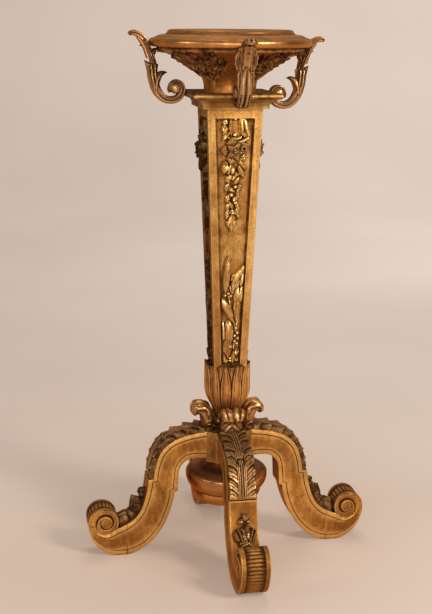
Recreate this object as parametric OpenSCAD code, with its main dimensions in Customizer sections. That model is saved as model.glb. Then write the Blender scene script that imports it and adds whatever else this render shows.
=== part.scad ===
/* [Top board] */
// Radius of the round top board at its bull-nosed rim
board_r = 171; // [160:1:185]
// Radius of the raised flat plateau that carries a vase or a bust
plateau_r = 125; // [115:1:135]
// Radius of the bull nose, half of the rim's thickness
nose_r = 9; // [8:0.5:11]
// Rise of the shallow slope from the rim to the plateau's moulding
slope_rise = 7; // [5:0.5:9]
// Height of the hollow moulding round the plateau
ogee_h = 10; // [8:0.5:13]
// Radius of the thin fillet turned under the top board
fillet_r = 155; // [150:1:158]
// Height of that fillet
fillet_h = 8; // [6:0.5:10]

/* [Bell] */
// Radius of the bell's neck, where it stands on the abacus
bell_neck_r = 55; // [48:1:60]
// Radius of the bell where it meets the fillet
bell_rim_r = 146; // [140:1:149]
// Height of the bell
bell_h = 84; // [76:1:95]
// Height of the carved foliage on each diagonal of the bell
spray_h = 72; // [64:1:75]
// Thickness of that foliage over the bell's surface
spray_t = 8; // [6:0.5:9]
// Half width of the foliage under the rim
spray_half_w = 62; // [54:1:64]

/* [Abacus] */
// Width of the square abacus plate
abacus_w = 188; // [180:1:196]
// Thickness of the plate, whose edge is a bull nose
plate_h = 12; // [10:0.5:14]
// Height of the cove moulding under the plate
cove_h = 20; // [16:1:24]
// Width of the cove at its top
cove_top_w = 176; // [168:1:180]
// Width of the cove at its foot
cove_foot_w = 140; // [132:1:150]

/* [Brackets] */
// Width of a bracket across its stem
bracket_w = 26; // [22:1:30]
// Thickness of a bracket's stem in its own plane
bracket_stem = 16; // [14:0.5:18]
// Width of the leaf that wraps the stem under the rim
bracket_leaf_w = 42; // [36:1:48]
// How far the left bracket was set above the other three
left_lift = 12; // [0:1:14]
// How far the left bracket was set out beyond the other three
left_shift = 12; // [0:1:14]
// How much lower the front bracket was carved
front_short = 8; // [0:1:12]

/* [Shaft] */
// Height of the tapered shaft
shaft_h = 561; // [520:1:620]
// Width of the shaft at its top
shaft_top_w = 118; // [112:1:124]
// Width of the shaft at its foot
shaft_foot_w = 73; // [70:1:78]
// Thickness of the four mitred boards
board_t = 16; // [14:0.5:18]
// Width of the frame round each sunk panel
frame_w = 16; // [13:0.5:18]
// Height of the frame above the panel
top_rail = 20; // [16:1:26]
// Height of the frame below the panel
bottom_rail = 8; // [6:0.5:12]
// Depth of the sunk panel
panel_depth = 7; // [5:0.5:9]
// Width of the moulded edge inside the frame
bead_w = 4; // [3:0.5:5]
// Depth of the moulded edge
bead_depth = 3; // [2:0.5:4]
// Height of the glue block at each end of the hollow shaft
block_h = 60; // [50:1:80]

/* [Panel carving] */
// Radius of the rose at the head of the flower drop
rose_r = 25; // [20:0.5:28]
// Height of the rose over the sunk panel
rose_h = 29; // [24:0.5:32]
// Distance from the panel's top edge to the centre of the rose
rose_drop = 63; // [56:1:70]
// Length of the flower drop below the centre of the rose
drop_len = 175; // [150:1:190]
// Height of the leaf spray at the foot of the panel
leaf_spray_h = 236; // [200:1:250]
// Height of the spray's leaves over the sunk panel
leaf_relief = 11; // [9:0.5:14]
// Clearance between the carving and the panel's moulded edge
carving_gap = 0.3; // [0.1:0.1:1]

/* [Calyx] */
// Height of the leafed cup under the shaft
calyx_h = 113; // [100:1:125]
// Radius of the cup's body at its mouth
calyx_rim_r = 48; // [46:0.5:50]
// Radius of the cup's body at its foot
calyx_foot_r = 24; // [21:0.5:28]
// Number of tall leaves round the cup
calyx_leaves = 12; // [8:2:16]
// Thickness of each leaf over the body
calyx_leaf_t = 3; // [2:0.5:4]
// Gap between two leaves where they are widest
calyx_leaf_gap = 2; // [1:0.5:4]
// Height of the collar between the cup and the hub
collar_h = 36; // [30:1:44]
// Radius of the collar
collar_r = 27; // [23:0.5:29]

/* [Hub and pendant] */
// Height of the hub's underside above the floor
hub_z = 210; // [190:1:230]
// Height of the hub block that carries the legs
hub_h = 71; // [66:1:80]
// Distance across the hub's flats
hub_w = 102; // [96:1:110]
// Height of the turned flare under the hub
flare_h = 21; // [17:0.5:25]
// Radius of the flare at the top
flare_neck_r = 40; // [36:0.5:44]
// Radius of the flare where it meets the pendant disc
flare_foot_r = 64; // [60:0.5:68]
// Largest radius of the pendant disc
disc_r = 92; // [84:0.5:96]
// Height of the pendant disc
disc_h = 49; // [42:0.5:54]
// Radius of the ring cut into the disc's top
ring_r = 78; // [74:0.5:80]
// Height of the turned knob under the disc
knob_h = 27; // [22:0.5:32]
// Radius of the knob
knob_r = 78; // [72:0.5:80]

/* [Legs] */
// Thickness of a leg
leg_t = 61; // [56:0.5:66]
// Distance from the axis to where a foot touches the floor
foot_reach = 245; // [225:1:270]
// Height of a leg where it joins the hub
root_h = 63; // [58:1:66]
// Radius of the rolled toe
roll_r = 33.5; // [30:0.5:36]
// Distance from the floor contact out to the centre of the roll
roll_out = 38; // [34:0.5:42]
// Height of the centre of the roll
roll_z = 79; // [74:0.5:84]
// Distance from the floor contact in to the glued toe joint
toe_joint_in = 14; // [8:0.5:18]
// Depth that each foot is worn flat
foot_wear = 0.6; // [0.4:0.1:1]
// Radius of the raised coil on each side of the roll
eye_r = 16; // [13:0.5:19]
// Height of the raised coil
eye_h = 5; // [3:0.5:6]
// Radius of the flutes across the roll
flute_r = 2.4; // [1.8:0.1:2.8]
// Plain border beside the flutes
flute_border = 8; // [6:0.5:10]

/* [Leg carving] */
// Width of the curled head of a knee leaf
head_w = 58; // [52:1:60]
// Number of lobes across the curled head
head_lobes = 5; // [3:2:7]
// Depth of the teeth cut into a knee leaf's edges
leaf_tooth = 4; // [2:0.5:6]
// Pitch of those teeth
leaf_pitch = 15; // [12:1:20]
// Radius of the leafy base of a shin husk
husk_r = 15; // [12:0.5:17]

/* [Dowels] */
// Radius of the dowel through the abacus and the bell
capital_dowel_r = 14; // [12:0.5:16]
// Depth of that dowel in the top board and in the glue block
capital_dowel_in = 22; // [18:1:26]
// Radius of the long tie dowel through the calyx and the hub
tie_dowel_r = 12; // [10:0.5:14]
// Depth of the tie dowel in the glue block and in the pendant disc
tie_dowel_in = 30; // [24:1:36]
// Radius of the dowels that hold the legs
leg_dowel_r = 6; // [5:0.5:7]
// Depth of a leg dowel in the hub, and in the leg
leg_dowel_in = 26; // [22:1:28]
// Radius of the dowel in each glued toe
toe_dowel_r = 5; // [4:0.5:6]
// Depth of a toe dowel on each side of the joint
toe_dowel_in = 14; // [10:0.5:16]
// Glue clearance round every dowel and block
glue_gap = 0.2; // [0.1:0.05:0.4]

/* [Hidden] */
// The pieces that repeat round the axis are named after the side they stand on
SIDES = ["front", "right", "rear", "left"];
DIAGONALS = ["front_right", "rear_right", "rear_left", "front_left"];
REPEATED = [
    "bracket_", "shaft_board_", "flower_drop_", "leaf_spray_", "leg_", "toe_", "knee_leaf_", "shin_husk_"
];
SINGLE = [
    "top_board", "top_fillet", "bell_capital", "abacus_plate", "abacus_cove", "capital_dowel",
    "shaft_top_block", "shaft_foot_block", "calyx_cup", "neck_collar", "hub_block", "tie_dowel",
    "leg_dowels", "toe_dowels", "pendant_flare", "pendant_disc", "pendant_knob"
];

// Colours of the gilding, the bole under it and the bare wood
gilt = "#b98a3c";
gilt_pale = "#c79a48";
gilt_brown = "#8a6230";
gilt_copper = "#a06a34";
bare_wood = "#9c7a52";

// Heights of the stack, from the floor up
hub_top = hub_z + hub_h;
calyx_z = hub_top + collar_h;
shaft_z = calyx_z + calyx_h;
cove_z = shaft_z + shaft_h;
plate_z = cove_z + cove_h;
bell_z = plate_z + plate_h;
fillet_z = bell_z + bell_h;
board_z = fillet_z + fillet_h;
stand_h = board_z + 2 * nose_r + slope_rise + ogee_h;
rim_z = board_z + nose_r;
disc_z = hub_z - flare_h - disc_h;
knob_z = disc_z - knob_h;

// Frame of one leg: its run out from the hub's face and its rise to the hub's top
hub_face = hub_w / 2;
leg_run = foot_reach - hub_face;
roll_x = foot_reach + roll_out;
toe_joint_x = foot_reach - toe_joint_in;

// Taper of one face of the shaft, and its length along the slope
face_lean = atan((shaft_top_w - shaft_foot_w) / 2 / shaft_h);
face_len = shaft_h / cos(face_lean);
panel_y0 = bottom_rail;
panel_y1 = face_len - top_rail;

// Steps along each stretch of a smooth curve, and segments round a turned piece
curve_steps = 4;
$fn = 72;

// Outlines of a leg in percent of its run and its rise, from the hub outwards
KNEE_TOP = [[0, 100], [21, 98], [41, 93], [54, 84], [60.5, 71], [62, 62.6]];
SHIN_TOP = [[67.5, 62.3], [70, 50.5], [76, 37.7], [85.6, 29], [100, 23.5]];
KNEE_UNDER = [[11, 78.3], [21, 77.4], [28.5, 73.5], [32, 68.5], [33, 61], [33.5, 51.6]];
SHIN_UNDER = [
    [37.6, 50.5], [38.7, 44], [44, 32.4], [51.5, 21.4], [62.5, 11.5], [74.7, 4.7], [88, 1], [100, 0]
];

// Outline of a knee leaf in the same percent, from its root up round the head and down the knee
LEAF_HEAD = [
    [-7.5, 100], [-8, 108], [-6.5, 116], [-2, 122], [3, 123.5], [9, 123], [15, 121], [17.5, 116],
    [15, 111], [11.5, 109.3]
];
LEAF_BACK = [
    [7, 109.5], [6, 104.5], [17.5, 103.8], [27, 100.5], [36, 100.6], [42, 97], [48.5, 95.5], [53, 90],
    [58, 87.5], [60, 81.5], [63, 80.5], [63.5, 73], [65.5, 72.5], [65.5, 67.3], [68.8, 67], [67.5, 61]
];

// Middle line of a bracket, in percent between the abacus's edge and the rim, with its thickness in percent
BRACKET_LINE = [
    [154, 117, 20], [138, 119, 55], [125, 113, 75], [112, 103, 85], [103, 88, 90], [93, 71, 85],
    [89.5, 54, 105], [90.5, 36, 115], [87, 17, 120], [76.5, -2, 115], [60, -14, 105], [39, -17, 100],
    [19.5, -11, 95], [11.5, 2, 90], [17, 13, 75], [30, 17, 65], [40, 12, 55], [43, 3, 55]
];
// Outlines of the leaf tips that stand off a bracket's stem, in the same percent
BRACKET_TIPS = [
    [[84, 62], [66, 42], [52, 39], [60, 35.5], [70, 31], [78, 10]],
    [[86, 34], [104, 50], [113, 62.5], [103, 61], [92, 72]],
    [[103, 94], [122, 96], [117.5, 100], [124, 106], [112, 112]]
];

// Smooth curve through a list of points
function bend(a, b, c, d, t) = 0.5 * (
    2 * b + (c - a) * t + (2 * a - 5 * b + 4 * c - d) * t * t + (3 * b - a - 3 * c + d) * t * t * t
);
function smooth(p, steps = curve_steps) = [
    for (i = [0 : len(p) - 2], k = [0 : steps - 1])
        bend(p[max(i - 1, 0)], p[i], p[i + 1], p[min(i + 2, len(p) - 1)], k / steps),
    p[len(p) - 1]
];
function reversed(p) = [for (i = [len(p) - 1 : -1 : 0]) p[i]];
function mirrored(p) = concat(p, [for (q = reversed(p)) [-q[0], q[1]]]);

// Points of a leg, from percent to real sizes
function leg_points(p) = [for (q = p) [hub_face + q[0] / 100 * leg_run, q[1] / 100 * hub_top]];

// Points of a bracket, from percent to real sizes
bracket_run = board_r - abacus_w / 2;
bracket_rise = rim_z - bell_z;
function bracket_point(q) = [abacus_w / 2 + q[0] / 100 * bracket_run, bell_z + q[1] / 100 * bracket_rise];

// Outline of a ribbon of changing thickness along a middle line
function side_of(p, i, s) =
    let (along = p[min(i + 1, len(p) - 1)] - p[max(i - 1, 0)],
         size = norm([along[0], along[1]]))
    [p[i][0], p[i][1]] + s * p[i][2] / 2 * [-along[1], along[0]] / size;
function ribbon(p) = concat(
    [for (i = [0 : len(p) - 1]) side_of(p, i, 1)],
    [for (i = [len(p) - 1 : -1 : 0]) side_of(p, i, -1)]
);

// Outline of a pointed leaf that grows along Y
function leaf_edge(size, w) = [
    for (t = [0 : 0.1 : 1]) [w / 2 * pow(sin(180 * pow(t, 0.8)), 0.8), size * t]
];

// Turns a piece to one of the four sides, with the front at -Y
module on_side(i) {
    rotate([0, 0, 90 * i - 90]) children();
}

// Stands an outline upright in the plane of a leg and gives it a width
module upright(w) {
    rotate([90, 0, 0]) linear_extrude(w, center = true) children();
}

// Square moulding from one side's outline, mitred at its corners
module square_moulding(w) {
    intersection() {
        rotate([90, 0, 0]) linear_extrude(w + 1, center = true) children();
        rotate([90, 0, 90]) linear_extrude(w + 1, center = true) children();
    }
}

// A hole through or into a piece for a dowel of radius r
module dowel_hole(r, h) {
    cylinder(r = r + glue_gap, h = h);
}

// Frame of one shaft face: X across, Y up the slope and Z out of the face
module on_face() {
    translate([shaft_foot_w / 2, 0, shaft_z])
        rotate([0, 90 + face_lean, 0])
            rotate([0, 0, 90])
                children();
}

// The top board, turned from one piece, with its plateau and its bull nose
module board_outline() {
    ogee_z = board_z + 2 * nose_r + slope_rise;
    slope_r = plateau_r + 15;
    polygon(concat(
        [[0, board_z], [board_r - nose_r, board_z]],
        [for (a = [-80 : 10 : 80]) [board_r - nose_r + nose_r * cos(a), rim_z + nose_r * sin(a)]],
        [[board_r - nose_r, board_z + 2 * nose_r]],
        smooth([[board_r - 2 * nose_r, ogee_z - slope_rise * 0.7], [slope_r, ogee_z]]),
        smooth([[slope_r - 4, ogee_z + ogee_h * 0.2], [slope_r - 8, ogee_z + ogee_h * 0.7],
            [plateau_r + 3, ogee_z + ogee_h * 0.95]]),
        [[plateau_r, stand_h], [0, stand_h]]
    ));
}

module top_board() {
    color(gilt_copper) difference() {
        rotate_extrude($fn = 120) board_outline();
        translate([0, 0, board_z - 1]) dowel_hole(capital_dowel_r, capital_dowel_in + 1);
    }
}

module top_fillet() {
    color(gilt_brown) difference() {
        translate([0, 0, fillet_z]) cylinder(r = fillet_r, h = fillet_h, $fn = 120);
        translate([0, 0, fillet_z - 1]) dowel_hole(capital_dowel_r, fillet_h + 2);
    }
}

// Radius of the bell at a share of its height
function bell_r(t) = bell_neck_r + (bell_rim_r - bell_neck_r) * pow(t, 2.7);

module bell_outline(proud) {
    polygon(concat(
        [[0, bell_z]],
        [for (t = [0 : 1 / 16 : 1]) [bell_r(t) + proud, bell_z + bell_h * t]],
        [[0, fillet_z]]
    ));
}

module bell_capital() {
    color(gilt_brown) difference() {
        rotate_extrude($fn = 120) bell_outline(0);
        translate([0, 0, bell_z - 1]) dowel_hole(capital_dowel_r, bell_h + 2);
    }
}

// Carved foliage that hangs from the rim down one diagonal of the bell
module bell_spray(i) {
    edge = [[1, 1], [0.94, 0.9], [0.72, 0.88], [0.76, 0.78], [0.52, 0.74], [0.56, 0.62], [0.36, 0.56],
        [0.38, 0.42], [0.2, 0.36], [0.18, 0.14], [0.06, 0]];
    half = [for (q = edge) [q[0] * spray_half_w, fillet_z - spray_h * (1 - q[1])]];
    color(gilt_brown) intersection() {
        difference() {
            rotate_extrude($fn = 120) bell_outline(spray_t);
            rotate_extrude($fn = 120) bell_outline(0);
        }
        rotate([0, 0, 90 * i - 45]) rotate([90, 0, 90])
            linear_extrude(bell_rim_r + spray_t) polygon(mirrored(half));
    }
}

module plate_outline() {
    half = abacus_w / 2;
    nose = plate_h / 2;
    translate([-half + nose, plate_z]) square([abacus_w - plate_h, plate_h]);
    for (s = [-1, 1]) translate([s * (half - nose), plate_z + nose]) circle(r = nose, $fn = 32);
}

module abacus_plate() {
    color(gilt) difference() {
        square_moulding(abacus_w) plate_outline();
        translate([0, 0, plate_z - 1]) dowel_hole(capital_dowel_r, plate_h + 2);
    }
}

module cove_outline() {
    foot = cove_h * 0.2;
    hollow = [for (a = [0 : 15 : 90]) [
        cove_foot_w / 2 + (cove_top_w - cove_foot_w) / 2 * (1 - cos(a)),
        cove_z + foot + (cove_h - foot) * sin(a)
    ]];
    polygon(mirrored(concat([[cove_foot_w / 2, cove_z]], hollow)));
}

module abacus_cove() {
    color(gilt) difference() {
        square_moulding(cove_top_w) cove_outline();
        translate([0, 0, cove_z - 1]) dowel_hole(capital_dowel_r, cove_h + 2);
    }
}

module capital_dowel() {
    color(bare_wood) translate([0, 0, cove_z - capital_dowel_in])
        cylinder(r = capital_dowel_r, h = board_z - cove_z + 2 * capital_dowel_in - glue_gap);
}

// One S-shaped scroll bracket, let into the rim of the top board and the edge of the abacus
module bracket(i) {
    left = SIDES[i] == "left";
    out = left ? 0 : -left_shift;
    up = left ? 0 : -left_lift;
    squat = SIDES[i] == "front" ? 1 - front_short / bracket_rise : 1;
    line = [
        for (q = smooth(BRACKET_LINE, 3))
            let (p = bracket_point(q)) [p[0], p[1], q[2] / 100 * bracket_stem]
    ];
    eye = bracket_point([35, 1]);
    color(gilt) on_side(i) difference() {
        translate([out, 0, up + rim_z * (1 - squat)]) scale([1, 1, squat]) {
            upright(bracket_w) polygon(ribbon(line));
            upright(bracket_w + 2) translate(eye) circle(r = bracket_stem * 0.42, $fn = 32);
            for (tip = BRACKET_TIPS) upright(bracket_w) polygon([for (q = tip) bracket_point(q)]);
            intersection() {
                upright(bracket_leaf_w) polygon(ribbon([for (k = [9 : 22]) line[k]]));
                bracket_leaf_front();
            }
        }
        rotate_extrude($fn = 120) board_outline();
        translate([0, 0, fillet_z]) cylinder(r = fillet_r, h = fillet_h, $fn = 120);
        square_moulding(abacus_w) plate_outline();
        square_moulding(cove_top_w) cove_outline();
    }
}

// Front view of the leaf that wraps a bracket's stem, pointed at both ends
module bracket_leaf_front() {
    low = bell_z + bracket_rise * 0.3;
    high = rim_z;
    half = bracket_leaf_w / 2;
    rotate([90, 0, 90]) linear_extrude(board_r * 1.5) polygon(mirrored([
        [half * 0.55, low], [half * 0.95, low + (high - low) * 0.4], [half * 0.7, low + (high - low) * 0.45],
        [half, low + (high - low) * 0.85], [half * 0.6, high]
    ]));
}

// Solid of the whole tapered shaft, or of the space that is in from its faces
module tapered(inset) {
    foot = shaft_foot_w / 2 - inset;
    top = shaft_top_w / 2 - inset;
    square_moulding(shaft_top_w)
        polygon([[-foot, shaft_z], [foot, shaft_z], [top, cove_z], [-top, cove_z]]);
}

// Outline of a sunk panel whose sides keep a constant frame width
module panel_outline(in) {
    slope = (shaft_top_w - shaft_foot_w) / 2 / face_len;
    low = shaft_foot_w / 2 + slope * panel_y0 - frame_w - in;
    high = shaft_foot_w / 2 + slope * panel_y1 - frame_w - in;
    polygon([[-low, panel_y0 + in], [low, panel_y0 + in], [high, panel_y1 - in], [-high, panel_y1 - in]]);
}

module shaft_board(i) {
    reach = shaft_top_w;
    color(gilt_pale) on_side(i) difference() {
        intersection() {
            tapered(0);
            linear_extrude(cove_z + 1) polygon([[0, 0], [reach, -reach], [reach, reach]]);
        }
        tapered(board_t);
        on_face() {
            translate([0, 0, -bead_depth]) linear_extrude(board_t) panel_outline(0);
            translate([0, 0, -panel_depth]) linear_extrude(board_t) panel_outline(bead_w);
        }
    }
}

// Glue block inside the hollow shaft, from a low height to a high one
module glue_block(low, high) {
    intersection() {
        tapered(board_t + glue_gap);
        translate([-shaft_top_w, -shaft_top_w, low]) cube([2 * shaft_top_w, 2 * shaft_top_w, high - low]);
    }
}

module shaft_top_block() {
    color(bare_wood) difference() {
        glue_block(cove_z - block_h, cove_z);
        translate([0, 0, cove_z - capital_dowel_in - glue_gap]) dowel_hole(capital_dowel_r, block_h);
    }
}

module shaft_foot_block() {
    color(bare_wood) difference() {
        glue_block(shaft_z, shaft_z + block_h);
        translate([0, 0, shaft_z - 1]) dowel_hole(tie_dowel_r, tie_dowel_in + glue_gap + 1);
    }
}

// A carved leaf of two levels that lies on the panel, with its stalk at the origin
module carved_leaf(size, w, h) {
    linear_extrude(h * 0.6) polygon(mirrored(leaf_edge(size, w)));
    linear_extrude(h) translate([0, size * 0.08]) polygon(mirrored(leaf_edge(size * 0.84, w * 0.5)));
}

// A bud or berry carved in two steps, which stands on the panel
module bud(x, y, r, h) {
    translate([x, y, 0]) {
        cylinder(r = r, h = h * 0.7, $fn = 10);
        cylinder(r = r * 0.6, h = h, $fn = 10);
    }
}

// A flat stalk from one point of the panel to another
module stalk(from, to, w, h) {
    run = to - from;
    translate(from) rotate([0, 0, atan2(run[1], run[0])])
        translate([0, -w / 2, 0]) cube([norm(run), w, h]);
}

// The flower drop: a tied ribbon, a rose, buds, small flowers and a leaf tip
module flower_drop(i) {
    rose_y = panel_y1 - rose_drop;
    knot_y = rose_y + rose_r;
    bow = (rose_drop - rose_r - bead_w) / cos(36);
    below = drop_len / 100;
    buds = [[-15, 26, 11, 18], [10, 22, 9, 13], [13, 32, 8, 13], [0, 34, 9, 16]];
    blossoms = [[-11, 44, 8], [2, 43, 8], [9, 51, 8], [-9, 55, 8], [1, 60, 7], [9, 64, 6], [-7, 68, 7],
        [2, 74, 7], [-5, 80, 6], [6, 82, 6]];
    color(gilt_pale) on_side(i) on_face() translate([0, 0, -panel_depth]) {
        for (a = [36, -36]) translate([0, knot_y, 0]) rotate([0, 0, a]) carved_leaf(bow, 24, rose_h * 0.6);
        stalk([0, rose_y], [-2, panel_y1 - bead_w - 1], 8, rose_h * 0.65);
        translate([0, rose_y, 0]) {
            cylinder(r = rose_r, h = rose_h * 0.4, $fn = 10);
            for (a = [18 : 72 : 306]) rotate([0, 0, a]) bud(rose_r * 0.5, 0, rose_r * 0.42, rose_h * 0.85);
            bud(0, 0, rose_r * 0.4, rose_h);
        }
        for (b = buds) bud(b[0], rose_y - b[1] * below, b[2], b[3]);
        for (b = blossoms) bud(b[0], rose_y - b[1] * below, b[2], leaf_relief);
        stalk([0, rose_y], [-2, rose_y - drop_len * 0.9], 9, leaf_relief * 0.6);
        translate([-2, rose_y - drop_len, 0]) carved_leaf(drop_len * 0.2, 25, leaf_relief);
    }
}

// The leaf spray that climbs from the foot of a panel
module leaf_spray(i) {
    unit = leaf_spray_h / 100;
    side = shaft_foot_w / 2 - frame_w - bead_w;
    leaves = [
        [-0.5, 0, 8, 13, 1.2], [0.5, 0, -6, 13, 1.2], [-0.5, 8, 2, 29, 1.75], [0.4, 34, 27, 27, 0.9],
        [0.65, 40, 0, 33, 1.35], [-0.55, 61, 0, 38, 0.9], [-0.6, 61, -35, 25, 0.7]
    ];
    berries = [[-0.8, 60, 4.5], [0.45, 25, 4.5], [0.5, 15, 4], [0.1, 15, 4], [1.3, 82, 4]];
    stalks = [[0.2, 3, 0.45, 42], [0.45, 34, -0.6, 63]];
    color(gilt_pale) on_side(i) on_face() translate([0, 0, -panel_depth]) intersection() {
        linear_extrude(leaf_relief) panel_outline(bead_w + carving_gap);
        translate([0, panel_y0 + bead_w, 0]) {
            for (q = leaves) translate([q[0] * side, q[1] * unit, 0])
                rotate([0, 0, q[2]]) carved_leaf(q[3] * unit, q[4] * side, leaf_relief);
            for (b = berries) bud(b[0] * side, b[1] * unit, b[2], leaf_relief);
            for (q = stalks)
                stalk([q[0] * side, q[1] * unit], [q[2] * side, q[3] * unit], 5, leaf_relief * 0.5);
            translate([-side * 0.8, 0, 0]) cube([side * 1.6, unit * 4, leaf_relief * 0.7]);
        }
    }
}

// Radius of the cup's body at a share of its height
function calyx_r(t) = calyx_foot_r + (calyx_rim_r - calyx_foot_r) * sin(90 * min(1, t / 0.52));

module calyx_outline(proud) {
    polygon(concat(
        [[0, calyx_z]],
        [for (t = [0 : 1 / 16 : 1]) [calyx_r(t) + proud, calyx_z + calyx_h * t]],
        [[0, shaft_z]]
    ));
}

// The cup: a turned body, tall pointed leaves round it and a bore for the tie dowel
module calyx_cup() {
    leaf_w = 2 * calyx_rim_r * sin(180 / calyx_leaves) - calyx_leaf_gap;
    root = calyx_h * 0.12;
    color(gilt) difference() {
        union() {
            rotate_extrude($fn = 96) calyx_outline(0);
            for (k = [0 : calyx_leaves - 1]) intersection() {
                rotate_extrude($fn = 96) calyx_outline(calyx_leaf_t);
                rotate([0, 0, (k + 0.5) * 360 / calyx_leaves]) rotate([90, 0, 90])
                    linear_extrude(calyx_rim_r + calyx_leaf_t)
                        translate([0, calyx_z - root])
                            polygon(mirrored(leaf_edge(calyx_h + root + calyx_leaf_gap, leaf_w)));
            }
        }
        translate([0, 0, calyx_z - 1]) dowel_hole(tie_dowel_r, calyx_h + 2);
    }
}

// The collar under the cup, with a bead round its waist
module neck_collar() {
    bead = collar_h / 5;
    color(gilt_brown) difference() {
        translate([0, 0, hub_top]) rotate_extrude($fn = 72) {
            square([collar_r, collar_h]);
            translate([collar_r, collar_h / 2]) circle(r = bead, $fn = 32);
        }
        translate([0, 0, hub_top - 1]) dowel_hole(tie_dowel_r, collar_h + 2);
    }
}

// The hub: an upright block whose corners are cut back to the width of a leg
module hub_block() {
    half = leg_t / 2;
    color(gilt) difference() {
        translate([0, 0, hub_z]) linear_extrude(hub_h) polygon([
            [hub_face, -half], [hub_face, half], [half, hub_face], [-half, hub_face],
            [-hub_face, half], [-hub_face, -half], [-half, -hub_face], [half, -hub_face]
        ]);
        translate([0, 0, hub_z - 1]) dowel_hole(tie_dowel_r, hub_h + 2);
        for (i = [0 : 3]) on_side(i) leg_dowel_places()
            translate([0, 0, -leg_dowel_in - glue_gap]) dowel_hole(leg_dowel_r, leg_dowel_in + 1);
    }
}

// The two places of a leg's dowels on the hub's face, with Z pointing out
module leg_dowel_places() {
    for (s = [-1, 1]) translate([hub_face, 0, hub_top - root_h / 2 + s * root_h / 5])
        rotate([0, 90, 0]) children();
}

module leg_dowels() {
    color(bare_wood) for (i = [0 : 3]) on_side(i) leg_dowel_places()
        translate([0, 0, -leg_dowel_in]) cylinder(r = leg_dowel_r, h = 2 * leg_dowel_in, $fn = 32);
}

// The place of a toe's dowel on the glued joint, with Z pointing out
module toe_dowel_place() {
    translate([toe_joint_x, 0, hub_top * 0.11]) rotate([0, 90, 0]) children();
}

module toe_dowels() {
    color(bare_wood) for (i = [0 : 3]) on_side(i) toe_dowel_place()
        translate([0, 0, -toe_dowel_in]) cylinder(r = toe_dowel_r, h = 2 * toe_dowel_in, $fn = 32);
}

// Side view of a whole leg with its rolled toe, worn flat where it stands
module leg_outline() {
    root = [hub_face, hub_top - root_h];
    sweep_x = roll_x + roll_r - foot_reach;
    sweep = [for (a = [0 : 7.5 : 82.5]) [foot_reach + sweep_x * cos(a), roll_z * (1 - sin(a))]];
    difference() {
        translate([0, -foot_wear]) union() {
            polygon(concat(
                smooth(leg_points(KNEE_TOP)), smooth(leg_points(SHIN_TOP)), [[roll_x, roll_z]], sweep,
                reversed(smooth(leg_points(SHIN_UNDER))), reversed(smooth(leg_points(KNEE_UNDER))), [root]
            ));
            translate([roll_x, roll_z]) circle(r = roll_r, $fn = 72);
        }
        translate([0, -10]) square([2 * roll_x, 10]);
    }
}

module leg(i) {
    color(gilt) on_side(i) difference() {
        upright(leg_t) intersection() {
            leg_outline();
            square([toe_joint_x, hub_top]);
        }
        leg_dowel_places() translate([0, 0, -1])
            dowel_hole(leg_dowel_r, leg_dowel_in + glue_gap + 1);
        toe_dowel_place() translate([0, 0, -toe_dowel_in - glue_gap])
            dowel_hole(toe_dowel_r, toe_dowel_in + glue_gap + 1);
    }
}

// The rolled toe, glued to the leg, with flutes across it and a raised coil on each side
module toe(i) {
    color(gilt) on_side(i) difference() {
        union() {
            upright(leg_t) intersection() {
                leg_outline();
                translate([toe_joint_x, 0]) square([roll_x, hub_top]);
            }
            translate([roll_x, 0, roll_z - foot_wear]) rotate([90, 0, 0])
                cylinder(r = eye_r, h = leg_t + 2 * eye_h, center = true, $fn = 48);
        }
        for (a = [4 : 10 : 164]) toe_flute([roll_x + roll_r * cos(a), roll_z + roll_r * sin(a)]);
        for (a = [5 : 7 : 68]) toe_flute([
            foot_reach + (roll_x + roll_r - foot_reach) * cos(a), roll_z * (1 - sin(a))
        ]);
        toe_dowel_place() translate([0, 0, -1]) dowel_hole(toe_dowel_r, toe_dowel_in + glue_gap + 1);
    }
}

// One flute across the roll, at a point of its side view
module toe_flute(p) {
    translate([p[0], 0, p[1] - foot_wear]) rotate([90, 0, 0])
        cylinder(r = flute_r, h = leg_t - 2 * flute_border, center = true, $fn = 16);
}

// Half width of a knee leaf's front view at height z, with teeth that point down
function leaf_half(z) = leg_t / 2 - leaf_tooth * ((z / leaf_pitch) % 1);

// The knee leaf: a carved leaf down the knee, whose upper end curls over in lobes
module knee_leaf(i) {
    low = hub_top * 0.6;
    split = hub_top * 1.045;
    teeth = [for (z = [low : leaf_pitch / 3 : split]) [leaf_half(z), z]];
    lobe = head_w / head_lobes;
    color(gilt_brown) on_side(i) difference() {
        intersection() {
            upright(leg_t + 2) polygon(concat(
                smooth(leg_points(LEAF_HEAD), 3), leg_points(LEAF_BACK),
                leg_points([[50, 70], [20, 92], [0, 98], [0, 100]])
            ));
            rotate([90, 0, 90]) linear_extrude(foot_reach) {
                polygon(mirrored(concat([[leg_t / 2 - leaf_tooth, low - leaf_pitch]], teeth)));
                translate([-head_w / 2 + lobe / 2, split - leaf_pitch])
                    square([head_w - lobe, hub_top * 0.16 + leaf_pitch]);
                for (k = [0 : head_lobes - 1]) {
                    y = (k - (head_lobes - 1) / 2) * lobe;
                    translate([y, hub_top * 1.165]) circle(r = lobe * 0.62, $fn = 24);
                    translate([y, hub_top * 1.1]) circle(r = lobe * 0.6, $fn = 24);
                }
            }
        }
        upright(leg_t + 4) leg_outline();
    }
}

// One turned form of a shin husk, at a place in percent of the leg and tilted along its face,
// whose length is a share of the hub's height over the floor
module husk_form(place, tilt, share, r) {
    p = leg_points([place])[0];
    translate([p[0], 0, p[1]]) rotate([0, tilt, 0]) rotate_extrude($fn = 32)
        polygon([for (t = [0 : 0.1 : 1]) [r * pow(sin(180 * t), 0.7), share * hub_top * (t - 0.5)]]);
}

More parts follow.
